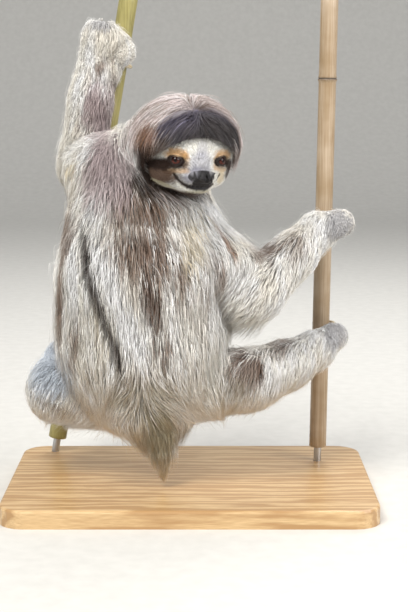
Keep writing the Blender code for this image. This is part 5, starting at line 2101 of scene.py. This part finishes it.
@dataclass(frozen=True)
class Cane:
    """A cut length of bamboo, in millimetres."""

    side: Side
    foot: tuple[float, float, float]
    top: tuple[float, float, float]
    radius: float
    rings: tuple[float, ...]
    sides: int = 56
    wall: float = 2.6
    recess: float = 9.0
    bore: float = 4.3
    bore_depth: float = 22.3

    def line(self) -> tuple[Array, Array, float, float]:
        """Where the cane runs.

        Returns:
            Foot, direction, radius and length.
        """
        foot = np.array(self.foot, float)
        way = np.array(self.top, float) - foot
        return foot, way / np.linalg.norm(way), self.radius, float(np.linalg.norm(way))

    def profile(self) -> list[tuple[float, float, float]]:
        """Outline that is turned to make the cane.

        Returns:
            Radius, place along the cane and nearness to a ring.
        """
        foot, axis, radius, length = self.line()
        inner = radius - self.wall
        rows = [(0.01, self.bore_depth, 0.0), (self.bore, self.bore_depth, 0.0), (self.bore, 0.3, 0.0)]
        rows += [(self.bore + 0.3, 0.0, 0.0), (radius - 0.5, 0.0, 0.0), (radius, 0.5, 0.0)]
        last = 0.5
        for height in self.rings:
            along = (height - foot[2]) / axis[2]
            for k in range(1, 7):
                rows.append((radius, last + (along - 7 - last) * k / 7, 0.0))
            for offset, rise, dark in (
                (-7, 0.0, 0.0), (-4, 0.05, 0.0), (-2.4, 0.35, 0.05), (-1.2, 0.95, 0.25), (-0.4, 1.1, 0.5),
                (0.1, 0.55, 1.0), (0.6, 0.15, 1.0), (1.1, 0.5, 0.8), (1.9, 0.62, 0.2), (3.2, 0.25, 0.08),
                (5.5, 0.05, 0.0), (8, 0.0, 0.0),
            ):
                rows.append((radius + rise, along + offset, dark))
            last = along + 8
        for k in range(1, 6):
            rows.append((radius, last + (length - 0.5 - last) * k / 5, 0.0))
        rows += [(radius - 0.5, length, 0.0), (inner + 0.3, length, 0.05), (inner, length - 0.3, 0.1)]
        rows += [(inner, length - self.recess, 0.2), (0.01, length - self.recess - 0.6, 0.1)]
        return rows

    def make(self, finish: bpy.types.Material) -> bpy.types.Object:
        """Builds the cane as a turned solid that is not quite round.

        Args:
            finish: its material.

        Returns:
            The new object.
        """
        foot, axis, _, _ = self.line()
        place = frame_along(Vector(axis), Vector(foot))
        rows = self.profile()
        verts = []
        near = []
        for radius, along, ring in rows:
            for j in range(self.sides):
                turn = math.tau * j / self.sides
                size = radius * (1 + 0.006 * math.sin(2 * turn + along * 0.01) + 0.003 * math.sin(5 * turn))
                verts.append(place @ Vector((size * math.cos(turn), size * math.sin(turn), along)))
                near.append(ring)
        loops = []
        for k in range(len(rows) - 1):
            for j in range(self.sides):
                n = (j + 1) % self.sides
                a = k * self.sides
                loops += [a + j, a + n, a + self.sides + n, a + self.sides + j]
        sizes = np.full((len(rows) - 1) * self.sides, 4)
        name = self.side.value + "_bamboo"
        mesh = mesh_of(name, np.array([tuple(v) for v in verts]), np.array(loops), sizes)
        value_points(mesh, "ring", np.array(near))
        piece = add_piece(name, mesh, finish)
        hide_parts(self.side.value + "_cane")
        return piece


CANES = (
    Cane(Side.LEFT, (-147.5, 100, 34), (-64.5, 100, 512), 9.8, (62, 262, 462)),
    Cane(Side.RIGHT, (136.3, 61, 34), (143, 61, 512), 9.0, (138, 281, 424)),
)


@dataclass(frozen=True)
class Grip:
    """Three claws hooked round a cane."""

    limb: str
    cane: Cane
    height: float
    angle: float
    spacing: float = 8.4
    sweep: float = 196.0
    root_reach: float = 21.0
    tip_reach: float = 13.2
    bend: float = 0.3
    radius: float = 2.7
    lean: float = 1.6
    stations: int = 26
    sides: int = 14

    def claw(self, level: int) -> bpy.types.Mesh:
        """One smooth tapered hook.

        Args:
            level: 1, 0 or -1 from the top down.

        Returns:
            Its mesh.
        """
        foot, axis, _, _ = self.cane.line()
        centre = foot + axis * ((self.height + level * self.spacing - foot[2]) / axis[2])
        across = unit(np.array([1.0, 0, 0]) - axis * axis[0])
        behind = np.cross(axis, across)
        behind = -behind if behind[1] < 0 else behind
        stations = self.stations
        sides = self.sides
        verts = []
        for k in range(stations):
            share = k / (stations - 1)
            turn = math.radians(self.angle + self.sweep * share)
            reach = self.root_reach + (self.tip_reach - self.root_reach) * min(1, share / self.bend) ** 0.8
            lean = level * self.lean * math.sin(math.pi * share)
            out = across * math.cos(turn) + behind * math.sin(turn)
            spot = centre + out * reach + axis * lean
            radius = self.radius * (1 - share) ** 0.6 * (1 - 0.25 * share) + 0.3
            for j in range(sides):
                a = math.tau * j / sides
                # The inner side of a claw is flatter than its back
                deep = math.cos(a) * (1.15 if math.cos(a) > 0 else 0.9)
                verts.append(spot + out * deep * radius + axis * math.sin(a) * radius)
        loops = []
        for k in range(stations - 1):
            for j in range(sides):
                n = (j + 1) % sides
                a = k * sides
                loops += [a + j, a + sides + j, a + sides + n, a + n]
        sizes = [4] * ((stations - 1) * sides)
        loops += list(range(sides)) + list(range((stations - 1) * sides, stations * sides))[::-1]
        sizes += [sides, sides]
        return mesh_of("claw", np.array(verts), np.array(loops), np.array(sizes))

    def make(self, finish: bpy.types.Material) -> None:
        """Builds the three claws of a hand or foot.

        Args:
            finish: its material.
        """
        for level, name in zip((1, 0, -1), ("upper", "middle", "lower")):
            full = f"{self.limb}_claw_{name}"
            piece = add_piece(full + "_horn", self.claw(level), finish)
            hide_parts(full)


GRIPS = (
    Grip("left_hand", CANES[0], 449, -78),
    Grip("right_hand", CANES[1], 277, -62),
    Grip("left_foot", CANES[0], 142, -62),
    Grip("right_foot", CANES[1], 158, -66),
)


@dataclass(frozen=True)
class Stage:
    """Camera, light and floor."""

    location: tuple[float, float, float] = (0.014, -1.45714809, 0.42682997)
    target: tuple[float, float, float] = (0.014, -0.025, 0.200)
    lens: float = 85.294
    sensor: float = 36.0
    aim: tuple[float, float, float] = (0, 0, 0.24)
    # Place, size, watts and colour of each lamp
    lamps: tuple = (
        ("key", (-0.7, -1.3, 1.9), 1.0, 52, "fffdf8"),
        ("fill", (1.6, -1.0, 1.2), 1.3, 31, "fcfaf8"),
        ("back", (0.4, 1.2, 1.6), 1.0, 16, "ffffff"),
    )
    sky: str = "e9ebee"
    sky_strength: float = 0.62
    # The floor, in metres: half width, near edge, where it starts to curve, the curve's radius and its top
    half_width: float = 6.0
    near_edge: float = -4.0
    curve_start: float = 2.8
    curve: float = 1.2
    top: float = 5.0

    def camera(self) -> None:
        """The photo's view."""
        data = bpy.data.cameras.new("camera")
        data.lens = self.lens
        data.sensor_width = self.sensor
        obj = bpy.data.objects.new("camera", data)
        bpy.context.scene.collection.objects.link(obj)
        obj.location = self.location
        obj.rotation_euler = (Vector(self.target) - Vector(self.location)).to_track_quat("-Z", "Y").to_euler()
        bpy.context.scene.camera = obj

    def light(self, name: str, place: tuple, size: float, watts: float, colour: str) -> None:
        """A soft square lamp that points at the model.

        Args:
            name: its name.
            place: where it hangs, in metres.
            size: its side in metres.
            watts: its power.
            colour: six hex digits.
        """
        data = bpy.data.lights.new(name, "AREA")
        data.size = size
        data.energy = watts
        data.color = linear(colour)
        obj = bpy.data.objects.new(name, data)
        bpy.context.scene.collection.objects.link(obj)
        obj.location = place
        obj.rotation_euler = (Vector(self.aim) - Vector(place)).to_track_quat("-Z", "Y").to_euler()

    def floor(self) -> None:
        """A pale floor that curves up behind the model."""
        start, bend = self.curve_start, self.curve
        rows = [(self.near_edge, 0.0), (start, 0.0)]
        turns = np.linspace(0.1, math.pi / 2, 14)
        rows += [(start + bend * math.sin(a), bend - bend * math.cos(a)) for a in turns]
        rows.append((start + bend, self.top))
        verts = np.array([(x, y, z) for y, z in rows for x in (-self.half_width, self.half_width)]) / MM
        loops = []
        for k in range(len(rows) - 1):
            loops += [2 * k, 2 * k + 1, 2 * k + 3, 2 * k + 2]
        mesh = mesh_of("floor", verts, np.array(loops), np.full(len(rows) - 1, 4))
        add_object("floor", mesh, Paper().material())

    def make(self) -> None:
        """Builds the studio."""
        self.camera()
        self.floor()
        for lamp in self.lamps:
            self.light(*lamp)
        world = bpy.data.worlds.new("studio")
        world.use_nodes = True
        sky = world.node_tree.nodes["Background"]
        sky.inputs[0].default_value = rgba(self.sky)
        sky.inputs[1].default_value = self.sky_strength
        bpy.context.scene.world = world
        bpy.context.scene.view_settings.view_transform = "Standard"


@dataclass(frozen=True)
class Stand:
    """The plate and rods keep their solids and get better materials."""

    rods: tuple[str, ...] = ("stand_rod_left", "stand_rod_right")
    base: str = "stand_base"

    def finish(self, nodes: dict[str, bpy.types.Object]) -> None:
        """Assigns the materials.

        Args:
            nodes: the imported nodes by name.
        """
        oak = Oak().material()
        steel = Steel().material()
        for name, finish in ((self.base, oak), *((rod, steel) for rod in self.rods)):
            for slot in nodes[name].material_slots:
                slot.material = finish
            LOG.info("%s is dressed in %s", name, finish.name)


FLESH = (
    "head", "neck", "torso", "tail",
    "left_upper_arm", "left_forearm", "left_hand", "right_upper_arm", "right_forearm", "right_hand",
    "left_thigh", "left_shin", "left_foot", "right_thigh", "right_shin", "right_foot",
)


def eye_centres() -> dict[Side, Array]:
    """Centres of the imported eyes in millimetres.

    Returns:
        One centre a side.
    """
    found = {}
    for side in Side:
        low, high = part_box(side.value + "_eye")
        found[side] = np.array((low + high) / 2) / MM
    return found


def main() -> None:
    """Builds the whole scene."""
    logging.basicConfig(level=logging.INFO, format="%(name)s: %(message)s")
    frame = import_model()
    head = Head()
    shape = Shape(head, eye_centres())
    lie = Lie(shape)
    markings = Markings(shape, lie, Palette())
    skin, verts, triangles = SkinMesh(shape, lie, markings).make(Skin().material())
    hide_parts(*FLESH)
    canes = [cane.line() for cane in CANES]
    pieces = Coat(shape, lie, markings, canes, seed=5).make(verts, triangles, Fur().material())
    total = sum(len(piece.data.polygons) for piece in pieces)
    LOG.info("coat has %d pieces and %d triangles", len(pieces), total)
    wet = Eye().material()
    for side in Side:
        _, rows = shape.eye_frame(side)
        look = rows[2] @ head.turn()
        ball = EyeBall().make(side.value + "_eyeball", shape.eyes[side], look, wet)
        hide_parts(side.value + "_eye")
    horn = Horn().material()
    for grip in GRIPS:
        grip.make(horn)
    for cane, bamboo in zip(CANES, (YELLOW_BAMBOO, PALE_BAMBOO)):
        cane.make(bamboo.material())
    Stand().finish(frame["nodes"])
    Stage().make()


if __name__ == "__main__":
    main()
